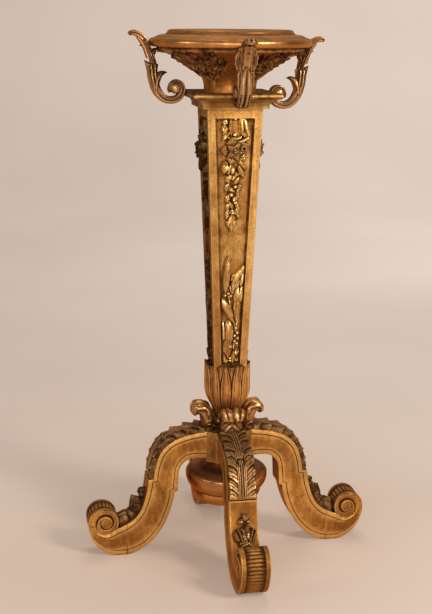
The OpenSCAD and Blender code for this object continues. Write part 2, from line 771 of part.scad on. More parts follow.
// The shin husk: a chain of a leafy base, a long bud and a small bud up the shin's hollow face
module shin_husk(i) {
    color(gilt_brown) on_side(i) difference() {
        union() {
            husk_form([92, 29.5], 118, 0.164, husk_r);
            husk_form([84, 33.5], 132, 0.121, husk_r);
            husk_form([77.5, 40.5], 156, 0.135, husk_r * 0.8);
            husk_form([73.5, 48], 170, 0.071, husk_r * 0.5);
        }
        upright(leg_t + 4) leg_outline();
    }
}

// The long dowel that ties the shaft, the cup, the hub and the pendant together
module tie_dowel() {
    foot = disc_z + disc_h - tie_dowel_in;
    color(bare_wood) translate([0, 0, foot])
        cylinder(r = tie_dowel_r, h = shaft_z + tie_dowel_in - foot);
}

// The turned flare between the hub and the pendant disc
module pendant_flare() {
    hollow = [for (a = [0 : 15 : 90]) [
        flare_neck_r + (flare_foot_r - flare_neck_r) * (1 - cos(a)), hub_z - flare_h * sin(a)
    ]];
    color(gilt_brown) difference() {
        rotate_extrude($fn = 96) polygon(concat([[0, hub_z]], hollow, [[0, hub_z - flare_h]]));
        translate([0, 0, hub_z - flare_h - 1]) dowel_hole(tie_dowel_r, flare_h + 2);
    }
}

// The pendant disc: a turned bun with a ring cut round its top
module pendant_disc() {
    top = disc_z + disc_h;
    bun = smooth([[disc_r * 0.93, top - disc_h * 0.04], [disc_r * 0.985, top - disc_h * 0.2],
        [disc_r, top - disc_h * 0.52], [disc_r * 0.97, top - disc_h * 0.8], [disc_r * 0.9, disc_z]]);
    color(gilt_copper) difference() {
        rotate_extrude($fn = 120) polygon(concat([[0, top], [disc_r * 0.88, top]], bun, [[0, disc_z]]));
        translate([0, 0, top]) rotate_extrude($fn = 96) translate([ring_r, 0]) circle(r = 1.6, $fn = 16);
        translate([0, 0, top - tie_dowel_in - glue_gap]) dowel_hole(tie_dowel_r, disc_h);
    }
}

// The turned knob that closes the pendant from below
module pendant_knob() {
    side = smooth([
        [knob_r, disc_z], [knob_r * 0.99, disc_z - knob_h * 0.3], [knob_r * 0.93, disc_z - knob_h * 0.62],
        [knob_r * 0.8, knob_z]
    ]);
    color(gilt_copper) rotate_extrude($fn = 96) polygon(concat([[0, disc_z]], side, [[0, knob_z]]));
}

top_board();
top_fillet();
bell_capital();
abacus_plate();
abacus_cove();
capital_dowel();
shaft_top_block();
shaft_foot_block();
calyx_cup();
neck_collar();
hub_block();
tie_dowel();
leg_dowels();
toe_dowels();
pendant_flare();
pendant_disc();
pendant_knob();
for (i = [0 : 3]) bell_spray(i);
for (i = [0 : 3]) bracket(i);
for (i = [0 : 3]) shaft_board(i);
for (i = [0 : 3]) flower_drop(i);
for (i = [0 : 3]) leaf_spray(i);
for (i = [0 : 3]) leg(i);
for (i = [0 : 3]) toe(i);
for (i = [0 : 3]) knee_leaf(i);
for (i = [0 : 3]) shin_husk(i);
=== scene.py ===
"""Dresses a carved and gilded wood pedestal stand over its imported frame."""

import logging
import math
from collections.abc import Callable, Sequence
from dataclasses import dataclass
from enum import Enum

import bmesh
import bpy
import numpy as np
from mathutils import Matrix, Vector

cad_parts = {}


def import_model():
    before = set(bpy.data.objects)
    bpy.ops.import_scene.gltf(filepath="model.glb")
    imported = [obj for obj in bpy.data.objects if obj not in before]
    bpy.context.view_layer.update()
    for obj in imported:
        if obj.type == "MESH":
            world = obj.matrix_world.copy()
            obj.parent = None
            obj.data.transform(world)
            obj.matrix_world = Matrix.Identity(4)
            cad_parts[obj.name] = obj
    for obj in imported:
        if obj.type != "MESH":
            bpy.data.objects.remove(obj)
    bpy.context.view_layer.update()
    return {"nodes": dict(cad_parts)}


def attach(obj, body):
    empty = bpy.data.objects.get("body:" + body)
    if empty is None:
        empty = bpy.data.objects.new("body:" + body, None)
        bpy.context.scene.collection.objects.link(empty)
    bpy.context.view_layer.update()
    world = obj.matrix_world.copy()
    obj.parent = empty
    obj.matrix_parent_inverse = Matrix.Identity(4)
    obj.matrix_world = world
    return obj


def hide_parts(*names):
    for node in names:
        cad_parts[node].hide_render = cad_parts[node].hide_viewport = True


LOG = logging.getLogger("pedestal")
Array = np.ndarray
Place = Callable[[Array, Array], Array]
Move = Callable[[Array], Array]
DirtAndShade = Callable[[Array], Array]
Pair = tuple[float, float]
Outline = Sequence[Pair]
Box = tuple[float, float, float, float]
Colour = tuple[float, float, float, float]
Screen = tuple[int, int, int]
Socket = bpy.types.NodeSocket

# Forms are shaped in millimetres, and Blender works in metres.
MM = 0.001
# Distance within which the edges of a closed form are joined.
WELD = 0.01
# Depth to which the back of a carving is let into its ground.
LET_IN = 1.2
# Angle in degrees past which an edge is drawn sharp.
SHARP = 38


class Side(Enum):
    """The side of the stand that a repeated piece faces, in quarter turns from the front."""

    front = 0
    right = 1
    rear = 2
    left = 3


class Diagonal(Enum):
    """The corner of the stand that a spray faces, in quarter turns from the front."""

    front_right = 0.5
    rear_right = 1.5
    rear_left = 2.5
    front_left = 3.5


def turned(across: Array, out: Array, up: Array, quarters: float) -> Array:
    """Places points of one side's own frame in the frame of the whole stand.

    Args:
        across: Millimetres to the right, as seen from outside.
        out: Millimetres out from the axis.
        up: Millimetres above the floor.
        quarters: Quarter turns from the front.

    Returns:
        One row of x, y and z a point.
    """
    a = math.radians(90 * quarters)
    x = across * math.cos(a) + out * math.sin(a)
    y = across * math.sin(a) - out * math.cos(a)
    return np.column_stack([x, y, up + 0 * x])


def ripple(p: Array, scale: float, seed: float = 0.0) -> Array:
    """Gives a smooth uneven value from -1 to 1 at each point, as a hand tool leaves.

    Args:
        p: Points, one in each row.
        scale: Size of the unevenness, in millimetres.
        seed: Shift that makes two surfaces differ.

    Returns:
        One value for each point.
    """
    total = np.zeros(len(p))
    for k in range(1, 6):
        turn = np.array([math.sin(k * 2.4 + seed), math.cos(k * 1.7 + seed), math.sin(k * 3.1 - seed)])
        total += np.sin(p @ (turn * (1 + 0.35 * k) / scale) * 2 + k * 1.9 + seed)
    return total / 5


class Line:
    """A smooth plane curve through a few points, read at a share of its length."""

    def __init__(self, points: Outline, steps: int = 12) -> None:
        """Smooths the points into a dense curve.

        Args:
            points: Points that the curve goes through.
            steps: Steps between two points.
        """
        p = np.array(points, float)
        p = np.vstack([p[0], p, p[-1]])
        t = np.arange(steps)[:, None] / steps
        spans = []
        for a, b, c, d in zip(p, p[1:], p[2:], p[3:]):
            bent = (c - a) * t + (2 * a - 5 * b + 4 * c - d) * t**2 + (3 * b - a - 3 * c + d) * t**3
            spans.append(b + bent / 2)
        self.points = np.vstack([*spans, p[-1]])
        size = np.linalg.norm(np.diff(self.points, axis=0), axis=1)
        self.reach = np.concatenate([[0], np.cumsum(size)])

    @property
    def length(self) -> float:
        """The length of the whole curve."""
        return float(self.reach[-1])

    def at(self, share: Array) -> Array:
        """Points at these shares of the length, one in each row."""
        d = np.asarray(share, float) * self.length
        return np.column_stack([np.interp(d, self.reach, column) for column in self.points.T])

    def every(self, step: int) -> list[tuple[float, ...]]:
        """Every so many of the curve's own points."""
        return [tuple(p) for p in self.points[::step]]

    def off(self, share: Array, height: Array) -> Array:
        """Points that stand off the curve by a height at each share."""
        return self.at(share)[:, :2] + self.normal(share) * height[:, None]

    def normal(self, share: Array) -> Array:
        """Directions square to the curve, to the left of its run.

        Args:
            share: Shares of the length.

        Returns:
            One direction in each row.
        """
        s, step = np.asarray(share, float), 0.004
        run = self.at(np.minimum(s + step, 1))[:, :2] - self.at(np.maximum(s - step, 0))[:, :2]
        run /= np.linalg.norm(run, axis=1, keepdims=True) + 1e-9
        return np.column_stack([-run[:, 1], run[:, 0]])


class Form:
    """The mesh of one piece while it is shaped, in millimetres."""

    def __init__(self) -> None:
        """Starts with nothing."""
        self.bm = bmesh.new()

    def add(self, patch: bmesh.types.BMesh, place: Move | None = None) -> None:
        """Closes a patch, turns its faces outwards and adds it to the piece.

        Args:
            patch: The patch, which is used up.
            place: Where each point of the patch goes, if it moves.
        """
        mesh = bpy.data.meshes.new("patch")
        patch.to_mesh(mesh)
        patch.clear()
        if place:
            co = np.empty(len(mesh.vertices) * 3)
            mesh.vertices.foreach_get("co", co)
            mesh.vertices.foreach_set("co", place(co.reshape(-1, 3)).ravel())
        patch.from_mesh(mesh)
        bmesh.ops.remove_doubles(patch, verts=patch.verts, dist=WELD)
        open_edges = [e for e in patch.edges if e.is_boundary]
        if open_edges:
            bmesh.ops.holes_fill(patch, edges=open_edges, sides=0)
        bmesh.ops.recalc_face_normals(patch, faces=patch.faces)
        patch.to_mesh(mesh)
        patch.free()
        self.bm.from_mesh(mesh)
        bpy.data.meshes.remove(mesh)

    def sheet(self, cols: int, rows: int, place: Place) -> None:
        """Adds a grid whose points are sent to their places, with seams and ends closed.

        Args:
            cols: Faces along the first direction.
            rows: Faces along the second.
            place: Gives points from two shares, each from 0 to 1.
        """
        patch = bmesh.new()
        bmesh.ops.create_grid(patch, x_segments=cols, y_segments=rows, size=0.5)
        self.add(patch, lambda co: place(co[:, 0] + 0.5, co[:, 1] + 0.5))

    def lathe(self, outline: Outline, steps: int = 120) -> None:
        """Turns an outline of radius and height round the axis.

        Args:
            outline: Points from the axis at the foot, round the outside, to the axis at the top.
            steps: Faces round the piece.
        """
        patch = bmesh.new()
        row = [patch.verts.new((max(r, 0.0), 0, z)) for r, z in outline]
        edges = [patch.edges.new(pair) for pair in zip(row, row[1:])]
        turn = {"cent": (0, 0, 0), "axis": (0, 0, 1), "angle": 2 * math.pi}
        bmesh.ops.spin(patch, geom=row + edges, steps=steps, use_merge=True, **turn)
        self.add(patch)

    def relief(self, box: Box, pitch: float, carve: Place, place: Move) -> None:
        """Adds a carving that stands on a surface, cut out along its own edge.

        Args:
            box: Left, bottom, right and top of the field that holds the carving.
            pitch: Size of one face.
            carve: Height over the ground at each point, below 0 outside the carving.
            place: Where each point of the field and its height goes.
        """
        x0, y0, x1, y1 = box
        patch = bmesh.new()
        cols, rows = round((x1 - x0) / pitch), round((y1 - y0) / pitch)
        bmesh.ops.create_grid(patch, x_segments=cols, y_segments=rows, size=0.5)
        centre = Matrix.Translation(((x0 + x1) / 2, (y0 + y1) / 2, 0))
        size = Matrix.Diagonal((x1 - x0, y1 - y0, 1, 1))
        bmesh.ops.transform(patch, matrix=centre @ size, verts=patch.verts)
        co = np.array([v.co for v in patch.verts])
        high = carve(co[:, 0], co[:, 1]) > 0
        waste = [f for f in patch.faces if not any(high[v.index] for v in f.verts)]
        bmesh.ops.delete(patch, geom=waste, context="FACES")
        front = bmesh.ops.extrude_face_region(patch, geom=patch.faces[:], use_keep_orig=True)["geom"]
        front = [v for v in front if isinstance(v, bmesh.types.BMVert)]
        bmesh.ops.translate(patch, verts=front, vec=(0, 0, 1))

        def raised(co: Array) -> Array:
            """Lifts the front to the carved height and sinks the back into the ground."""
            h = np.maximum(carve(co[:, 0], co[:, 1]), 0)
            return place(np.column_stack([co[:, :2], np.where(co[:, 2] > 0.5, h, -LET_IN)]))

        self.add(patch, raised)

    def blade(self, line: Line, across: Place, quarters: float, steps: tuple[int, int]) -> None:
        """Sweeps a changing section along a line in the upright plane of one side.

        Args:
            line: Middle line, of distance out and height.
            across: Gives the section from its turn and the share of the length, as width and thickness.
            quarters: Quarter turns from the front.
            steps: Faces round the section and along the line.
        """

        def place(u: Array, v: Array) -> Array:
            """Places the points of the section round the line."""
            section = across(2 * math.pi * u, v)
            return turned(section[:, 0], *line.off(v, section[:, 1]).T, quarters)

        self.sheet(steps[0], steps[1], place)

    def finish(self, name: str, slot: "Slot", *nodes: str, dirt_and_shade: DirtAndShade | None = None) -> None:
        """Makes the piece an object in the frame, with its wear, painted shade and finish, and hides the CAD
        nodes that it stands for.

        Args:
            name: Name of the piece.
            slot: The finish that it takes.
            nodes: The CAD nodes that it stands for.
            dirt_and_shade: Gives how much more dirt and painted shade lie at each point, from 0 to 1.
        """
        mesh = bpy.data.meshes.new(name)
        self.bm.to_mesh(mesh)
        self.bm.free()
        WearAndShade().mark(mesh, dirt_and_shade)
        mesh.transform(Matrix.Scale(MM, 4))
        mesh.polygons.foreach_set("use_smooth", [True] * len(mesh.polygons))
        mesh.set_sharp_from_angle(angle=math.radians(SHARP))
        piece = bpy.data.objects.new(name, mesh)
        bpy.context.scene.collection.objects.link(piece)
        mesh.materials.append(slot.material())
        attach(piece, "root")
        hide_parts(*nodes)
        LOG.info("%s: %d faces for %s", name, len(mesh.polygons), ", ".join(nodes))


@dataclass(frozen=True)
class WearAndShade:
    """How the shape of a piece tells where its gold is rubbed bright, with a painted highlight, and where
    dirt and painted shade lie in its hollows.

    Attributes:
        near: Passes of smoothing that take off the smallest edges and creases.
        far: Further passes, which take off the carving too.
        rub_and_sheen: Rubbing and painted highlight for each millimetre that a point stands over its
            neighbours.
        pit: Dirt and painted shade for each millimetre that it lies under the carving round it.
        crease: Dirt and painted shade for each millimetre that it lies under its neighbours.
        clean: Dirt and painted shade that are taken off all over.
    """

    near: int = 2
    far: int = 22
    rub_and_sheen: float = 4.0
    pit: float = 0.8
    crease: float = 4.5
    clean: float = 0.1

    def mark(self, mesh: bpy.types.Mesh, dirt_and_shade: DirtAndShade | None) -> None:
        """Stores how worn each point is, with its painted highlight, and how much dirt and painted shade lie
        on it.

        Args:
            mesh: The mesh, in millimetres.
            dirt_and_shade: Gives how much more dirt and painted shade lie at each point.
        """
        count = len(mesh.vertices)
        co, normal = np.empty(count * 3), np.empty(count * 3)
        pairs = np.empty(len(mesh.edges) * 2, int)
        mesh.vertices.foreach_get("co", co)
        mesh.vertex_normals.foreach_get("vector", normal)
        mesh.edges.foreach_get("vertices", pairs)
        co, normal = co.reshape(-1, 3), normal.reshape(-1, 3)
        near = self.soften(co, pairs, self.near)
        far = self.soften(near, pairs, self.far)
        proud = ((co - near) * normal).sum(1)
        depth = ((far - co) * normal).sum(1)
        # The worn value brightens proud points: gold rubbed bright, and a painted highlight.
        worn = clamped(proud * self.rub_and_sheen)
        # The grime value darkens sunk points and creases: dirt, and painted shade.
        grime_and_shade = clamped(depth * self.pit + np.maximum(-proud, 0) * self.crease - self.clean)
        # Each piece adds its own dirt and painted shade.
        if dirt_and_shade is not None:
            grime_and_shade = clamped(grime_and_shade + dirt_and_shade(co))
        for name, value in {"worn": worn, "grime_and_shade": grime_and_shade}.items():
            layer = mesh.attributes.new(name=name, type="FLOAT", domain="POINT")
            layer.data.foreach_set("value", value.astype(np.float32))

    def soften(self, p: Array, pairs: Array, passes: int) -> Array:
        """Moves every point to the middle of its neighbours a few times.

        Args:
            p: The points, one in each row.
            pairs: The two points of each edge, one edge after the other.
            passes: How many times they are moved.

        Returns:
            The softened points.
        """
        ends = np.concatenate([pairs[0::2], pairs[1::2]])
        others = np.concatenate([pairs[1::2], pairs[0::2]])
        count = len(p)
        share = np.maximum(np.bincount(ends, minlength=count), 1)
        for _ in range(passes):
            p = np.column_stack([np.bincount(ends, p[others, k], count) for k in range(3)])
            p = p / share[:, None]
        return p


class Recipe:
    """The node tree of one material while it is laid out."""

    def __init__(self, name: str) -> None:
        """Starts a material with a bare shader.

        Args:
            name: Name of the material.
        """
        self.material = bpy.data.materials.new(name)
        self.material.use_nodes = True
        self.tree = self.material.node_tree
        self.shader = self.tree.nodes["Principled BSDF"]
        self.spot = self.node("ShaderNodeTexCoord").outputs["Object"]

    def node(self, kind: str, inputs: dict | None = None, **settings: object) -> bpy.types.Node:
        """Adds a node.

        Args:
            kind: Blender's name of the node's type.
            inputs: Values or other nodes' sockets for its inputs, by name or number.
            settings: The node's own settings.

        Returns:
            The new node.
        """
        made = self.tree.nodes.new(kind)
        for key, value in settings.items():
            setattr(made, key, value)
        for key, value in (inputs or {}).items():
            if isinstance(value, bpy.types.NodeSocket):
                self.tree.links.new(value, made.inputs[key])
            else:
                made.inputs[key].default_value = value
        return made

    def noise(
        self, scale: float, detail: float = 4.0, roughness: float = 0.55, stretch: tuple | None = None
    ) -> Socket:
        """Gives an uneven value at each point.

        Args:
            scale: Bumps in a metre.
            detail: Finer layers that lie over them.
            roughness: How strong the finer layers are.
            stretch: Factors for the three directions, if it is drawn out.

        Returns:
            The value, from 0 to 1.
        """
        spot = self.spot
        if stretch is not None:
            spot = self.node("ShaderNodeMapping", {"Vector": spot, "Scale": stretch}).outputs[0]
        values = {"Vector": spot, "Scale": scale, "Detail": detail, "Roughness": roughness}
        return self.node("ShaderNodeTexNoise", values).outputs[0]

    def span(self, value: Socket, low: float, high: float, first: float = 0.0, last: float = 1.0) -> Socket:
        """Stretches a range of a value to another range.

        Args:
            value: The value.
            low: Start of its range.
            high: End of its range.
            first: What the start becomes.
            last: What the end becomes.

        Returns:
            The new value.
        """
        keys = ("From Min", "From Max", "To Min", "To Max")
        values = dict(zip(keys, (low, high, first, last)))
        return self.node("ShaderNodeMapRange", {"Value": value, **values}).outputs[0]

    def sum_of(self, a: Socket | float, b: Socket | float, operation: str = "ADD") -> Socket:
        """Joins two values by one operation and keeps the result from 0 to 1."""
        return self.node("ShaderNodeMath", {0: a, 1: b}, operation=operation, use_clamp=True).outputs[0]

    def blend(self, share: Socket, a: Socket | Colour, b: Socket | Colour) -> Socket:
        """Mixes two colours by a share."""
        return self.node("ShaderNodeMix", {0: share, 6: a, 7: b}, data_type="RGBA").outputs[2]

    def attribute(self, name: str) -> Socket:
        """Reads a value that the mesh stores at each point."""
        return self.node("ShaderNodeAttribute", attribute_name=name).outputs["Fac"]

    def bump(self, height: Socket, strength: float, distance: float, under: Socket | None = None) -> Socket:
        """Turns a height into a bumped normal.

        Args:
            height: The height, from 0 to 1.
            strength: How strong the bumps are.
            distance: Height in metres that 1 stands for.
            under: The normal that it lies over, if there is one.

        Returns:
            The normal.
        """
        values = {"Height": height, "Strength": strength, "Distance": distance}
        if under is not None:
            values["Normal"] = under
        return self.node("ShaderNodeBump", values).outputs[0]

    def connect(self, **links: bpy.types.NodeSocket) -> None:
        """Links sockets to the shader's inputs, with spaces for underscores in their names."""
        for name, socket in links.items():
            self.tree.links.new(socket, self.shader.inputs[name.replace("_", " ")])


def colour(red: int, green: int, blue: int) -> Colour:
    """Turns a colour as a screen shows it, from 0 to 255, into the renderer's own numbers."""
    linear = [((c / 255 + 0.055) / 1.055) ** 2.4 if c > 10 else c / 255 / 12.92 for c in (red, green, blue)]
    return (*linear, 1.0)


@dataclass(frozen=True)
class Gilding:
    """Worn gilding over red bole, with brown patina and painted shade in its hollows, painted dark reflection
    on what faces up and painted highlights on its proud edges.

    Attributes:
        light: The gold where it is bright.
        deep: The gold where it is toned down.
        patina: The brown of the patina and painted shade in the hollows.
        metal: How much it shines as metal.
        rough: How rough it is.
        dirt: How dark the hollows are, with patina and painted shade.
        film: How much patina lies on the open surface.
        rub_and_sheen: How far the edges are rubbed bright, as worn gold and painted highlight.
        bole: How much of the red ground shows.
        dust_and_dark_reflection: How much settled dust and painted dark reflection lie on what faces up.
        grain: How much the upright brush strokes show.
        edge: Tint of the light that glances off it.
        ground: The red ground under it.
        shine: What rubbing and the painted highlight add to its light colour.
    """

    light: Screen
    deep: Screen
    patina: Screen = (58, 38, 20)
    metal: float = 0.7
    rough: float = 0.42
    dirt: float = 0.9
    film: float = 0.2
    rub_and_sheen: float = 0.5
    bole: float = 0.35
    dust_and_dark_reflection: float = 0.0
    grain: float = 1.0
    edge: Screen = (214, 150, 96)
    ground: Screen = (128, 64, 30)
    shine: Screen = (38, 40, 36)

    def material(self, name: str) -> bpy.types.Material:
        """Lays out the gilding's nodes.

        Args:
            name: Name of the material.

        Returns:
            The material.
        """
        r = Recipe(name)
        broad, mid, small = r.noise(11, 3), r.noise(55, 5, 0.6), r.noise(230, 4, 0.65)
        gold = self.gold(r, broad, mid, small)
        holes = r.node("ShaderNodeTexVoronoi", {"Vector": r.spot, "Scale": 42, "Randomness": 1.0}).outputs[0]
        pin = r.span(holes, 0.05, 0.08, 1.0, 0.0)
        patina_and_shade = self.patina_and_shade(r, mid, r.sum_of(pin, r.span(broad, 0.48, 0.53), "MULTIPLY"))
        open_rough = r.span(small, 0.3, 0.7, self.rough - 0.07, self.rough + 0.12)
        r.shader.inputs["Specular IOR Level"].default_value = 0.2
        r.shader.inputs["Specular Tint"].default_value = colour(*self.edge)
        r.connect(
            Base_Color=r.blend(patina_and_shade, gold, colour(*self.patina)),
            Roughness=r.sum_of(open_rough, r.span(patina_and_shade, 0, 1, 0, 0.35)),
            Metallic=r.span(patina_and_shade, 0.0, 1.0, self.metal, 0.3),
            Normal=self.relief(r, small, pin),
        )
        return r.material

    def gold(self, r: Recipe, broad: Socket, mid: Socket, small: Socket) -> Socket:
        """Lays out the clean gold: its toning, the ground that shows through and the rubbed edges with their
        painted highlight.

        Args:
            r: The material's nodes.
            broad: Noise a hand wide.
            mid: Noise a finger wide.
            small: Noise as fine as the grain.

        Returns:
            The colour.
        """
        deep = colour(*self.deep)
        dull = colour(*[round(c * 0.7) for c in self.deep])
        bright = colour(*[min(255, c + more) for c, more in zip(self.light, self.shine)])
        streak = r.noise(130, 4, 0.6, stretch=(1.0, 1.0, 0.04))
        thin = r.sum_of(r.span(r.noise(90, 6, 0.7), 0.58, 0.66), self.bole, "MULTIPLY")
        gold = r.blend(r.span(broad, 0.4, 0.6), colour(*self.light), deep)
        gold = r.blend(r.span(streak, 0.45, 0.75, 0, 0.6 * self.grain), gold, deep)
        gold = r.blend(r.span(mid, 0.46, 0.68, 0, 0.65), gold, deep)
        gold = r.blend(r.span(small, 0.48, 0.7, 0, 0.65), gold, dull)
        gold = r.blend(thin, gold, colour(*self.ground))
        # Proud edges brighten: gold rubbed through, and a painted highlight.
        return r.blend(r.sum_of(r.attribute("worn"), self.rub_and_sheen, "MULTIPLY"), gold, bright)

    def patina_and_shade(self, r: Recipe, mid: Socket, specks: Socket) -> Socket:
        """Lays out how much brown patina and painted shade lie at each point.

        Args:
            r: The material's nodes.
            mid: Noise a finger wide.
            specks: The specks that lie over all other dirt.

        Returns:
            The share of patina.
        """
        # Ambient occlusion darkens the hollows: patina that lies there, and painted shade.
        occlusion_shade = r.node("ShaderNodeAmbientOcclusion", {"Distance": 0.009}, samples=6).outputs["AO"]
        hollow = r.span(occlusion_shade, 0.25, 0.8, self.dirt, 0.0)
        # The mesh's stored dirt and painted shade add to it.
        depth = r.sum_of(r.attribute("grime_and_shade"), self.dirt, "MULTIPLY")
        patina_and_shade = r.sum_of(r.sum_of(depth, hollow), r.span(mid, 0.25, 0.75, 0.7, 1.3), "MULTIPLY")
        film = r.sum_of(r.span(r.noise(30, 6, 0.68), 0.46, 0.70), self.film, "MULTIPLY")
        patina_and_shade = r.sum_of(patina_and_shade, film)
        # What faces up gets settled dust and a painted dark reflection.
        if self.dust_and_dark_reflection:
            normal = r.node("ShaderNodeNewGeometry").outputs["Normal"]
            up = r.node("ShaderNodeSeparateXYZ", {0: normal}).outputs[2]
            patina_and_shade = r.sum_of(patina_and_shade, r.span(up, 0.35, 0.85, 0.0, self.dust_and_dark_reflection))
        return r.sum_of(patina_and_shade, specks)

    def relief(self, r: Recipe, small: Socket, pin: Socket) -> Socket:
        """Lays out the brush strokes, the grain and the pin holes as bumps.

        Args:
            r: The material's nodes.
            small: Noise as fine as the grain.
            pin: The pin holes.

        Returns:
            The bumped normal.
        """
        brushed = r.noise(120, 4, 0.6, stretch=(1.0, 1.0, 1.0 - 0.7 * self.grain))
        coarse = (self.rough / 0.4) ** 2
        relief = r.bump(brushed, 0.5, 0.0016 * coarse)
        relief = r.bump(small, 0.5, 0.0007 * coarse, relief)
        return r.bump(pin, -0.6, 0.001, relief)


@dataclass(frozen=True)
class BareWood:
    """Plain wood, unfinished, with its grain upright."""

    early: Screen = (176, 140, 96)
    late: Screen = (132, 96, 60)

    def material(self, name: str) -> bpy.types.Material:
        """Lays out the wood's nodes.

        Args:
            name: Name of the material.

        Returns:
            The material.
        """
        r = Recipe(name)
        grain = r.noise(60, 6, 0.6, stretch=(1.0, 1.0, 0.06))
        pores = r.noise(700, 2, 0.5, stretch=(1.0, 1.0, 0.1))
        tone = r.blend(r.span(grain, 0.35, 0.65), colour(*self.early), colour(*self.late))
        rough = r.span(pores, 0.3, 0.7, 0.6, 0.8)
        r.connect(Base_Color=tone, Roughness=rough, Normal=r.bump(pores, 0.4, 0.0003))
        return r.material


class Slot(Enum):
    """The record's material slots, each with its finish."""

    gilt_burnished = Gilding(
        (208, 140, 76), (154, 92, 46), edge=(238, 204, 160),
        metal=0.95, rough=0.31, dirt=0.3, film=0.15, rub_and_sheen=0.3, dust_and_dark_reflection=0.6, grain=0.14,
    )
    gilt_brown = Gilding(
        (226, 146, 70), (158, 92, 40), (64, 31, 20),
        metal=0.88, rough=0.33, film=0.35, rub_and_sheen=0.9, grain=0.2,
    )
    gilt_frame = Gilding(
        (234, 184, 106), (184, 126, 62), (88, 44, 20),
        metal=0.85, rough=0.38, film=0.12, grain=1.6,
    )
    gilt_calyx = Gilding(
        (226, 158, 86), (150, 94, 46), (62, 36, 20),
        metal=0.8, rough=0.36, dirt=0.75, film=0.2, grain=1.3,
    )
    gilt_dark = Gilding(
        (202, 146, 86), (130, 86, 48), (60, 37, 22),
        metal=0.9, rough=0.28, dirt=0.85, film=0.2, rub_and_sheen=0.8, bole=0.3, grain=0.2,
    )
    gilt_leg = Gilding(
        (212, 150, 74), (146, 92, 40),
        metal=0.75, rough=0.4, film=0.36, bole=0.9, dust_and_dark_reflection=0.3, grain=0.9,
    )
    gilt_copper = Gilding(
        (200, 132, 72), (138, 84, 44), (52, 33, 20),
        metal=0.95, rough=0.24, film=0.2, dust_and_dark_reflection=0.55, grain=0.1,
    )
    gilt_bracket = Gilding(
        (166, 116, 70), (98, 64, 38), (56, 36, 24),
        metal=0.92, rough=0.28, dirt=0.8, film=0.25, rub_and_sheen=0.9, bole=0.3, dust_and_dark_reflection=0.5, grain=0.2,
    )
    gilt_carving = Gilding(
        (244, 184, 108), (176, 112, 58), (56, 28, 14),
        metal=0.88, rough=0.26, dirt=0.92, film=0.12, rub_and_sheen=0.8, bole=0.3, grain=0.1,
    )
    bare_wood = BareWood()

    def material(self) -> bpy.types.Material:
        """The slot's material, which is made when it is first asked for."""
        name = f"{self.name}_finish"
        return bpy.data.materials.get(name) or self.value.material(name)


def clamped(value: Array) -> Array:
    """Each value, kept from 0 to 1."""
    return np.clip(value, 0, 1)


def blunt(value: Array, power: float) -> Array:
    """A value from -1 to 1 that reaches its ends sooner, which squares a round section."""
    return np.sign(value) * np.abs(value) ** power


def even_shade(amount: float) -> DirtAndShade:
    """The same painted shade all over a piece."""
    return lambda co: np.full(len(co), amount)


def rounded(centre: Pair, radius: float, degrees: range) -> list[Pair]:
    """Gives the outline of a round moulding.

    Args:
        centre: Radius and height of the middle of its round.
        radius: Radius of the round.
        degrees: Turns at which it has a point, from straight out.

    Returns:
        The points, as radius and height.
    """
    turns = [math.radians(a) for a in degrees]
    return [(centre[0] + radius * math.cos(a), centre[1] + radius * math.sin(a)) for a in turns]


def scooped(start: Pair, size: Pair, degrees: range) -> list[Pair]:
    """Gives the outline of a hollow moulding, which leaves its start upright.

    Args:
        start: Radius and height of its start.
        size: How far out and how far up it runs.
        degrees: Turns at which it has a point, from its start.

    Returns:
        The points, as radius and height.
    """
    turns = [math.radians(a) for a in degrees]
    return [(start[0] + size[0] * (1 - math.cos(a)), start[1] + size[1] * math.sin(a)) for a in turns]


def saw(t: Array) -> Array:
    """The share of a step that each value has gone."""
    return t - np.floor(t)


def hump(s: Array, power: float = 2.0) -> Array:
    """A rounded height, 1 in the middle and 0 from an offset of 1 outwards."""
    return np.sqrt(clamped(1 - np.abs(s) ** power))


def ditch(offset: Array, width: float) -> Array:
    """A narrow hollow, 1 at an offset of 0."""
    return np.exp(-((offset / width) ** 2))


@dataclass(frozen=True)
class Leaf:
    """One carved leaf, seen flat, in millimetres.

    Attributes:
        x: Place of its stalk across.
        y: Place of its stalk upwards.
        angle: Turn in degrees, anticlockwise from straight up.
        length: Length.
        width: Widest width.
        height: Height over the ground.
        bow: Sideways bow of its tip, in shares of the length.
        lobes: Number of lobes cut into each edge.
        cup: How deep it is hollowed beside its rib, in shares of the height.
        rise: How much higher its tip is, in shares of the height.
        edge: How square its edge is: 2 is round.
        steps: How much each lobe rises to its tip, in shares of the height.
    """

    x: float
    y: float
    angle: float
    length: float
    width: float
    height: float
    bow: float = 0.0
    lobes: int = 0
    cup: float = 0.0
    rise: float = 0.2
    edge: float = 2.0
    steps: float = 0.0

    def carve(self, x: Array, y: Array) -> Array:
        """Height of the leaf at each point, below 0 outside it.

        Args:
            x: Places across.
            y: Places upwards.

        Returns:
            One height for each point, below 0 outside.
        """
        a = math.radians(self.angle)
        along = (y - self.y) * math.cos(a) - (x - self.x) * math.sin(a)
        side = (x - self.x) * math.cos(a) + (y - self.y) * math.sin(a)
        t = clamped(along / self.length)
        side = side - self.bow * self.length * t**2
        half = self.width / 2 * np.sin(math.pi * t**0.8) ** 0.7 + 1e-6
        if self.lobes:
            half = half * (1.08 - 0.3 * saw(t * self.lobes + 0.2) ** 1.5)
        s = np.abs(side) / half
        h = hump(s, self.edge) * (1 - self.cup * clamped(1 - s)) + 0.16 * ditch(side, 1.1)
        if self.lobes:
            h = h - 0.2 * ditch(saw(t * self.lobes - s * 0.9 + 0.6) - 0.5, 0.13) * clamped(s * 2)
        h = h * (1 - self.steps + self.steps * saw(t * self.lobes - s * 0.9 + 0.1))
        h = h * self.height * (1 - self.rise + self.rise * t + 0.1 * np.sin(math.pi * t))
        return np.where((s < 1) & (along > 0) & (along < self.length), h, -1)


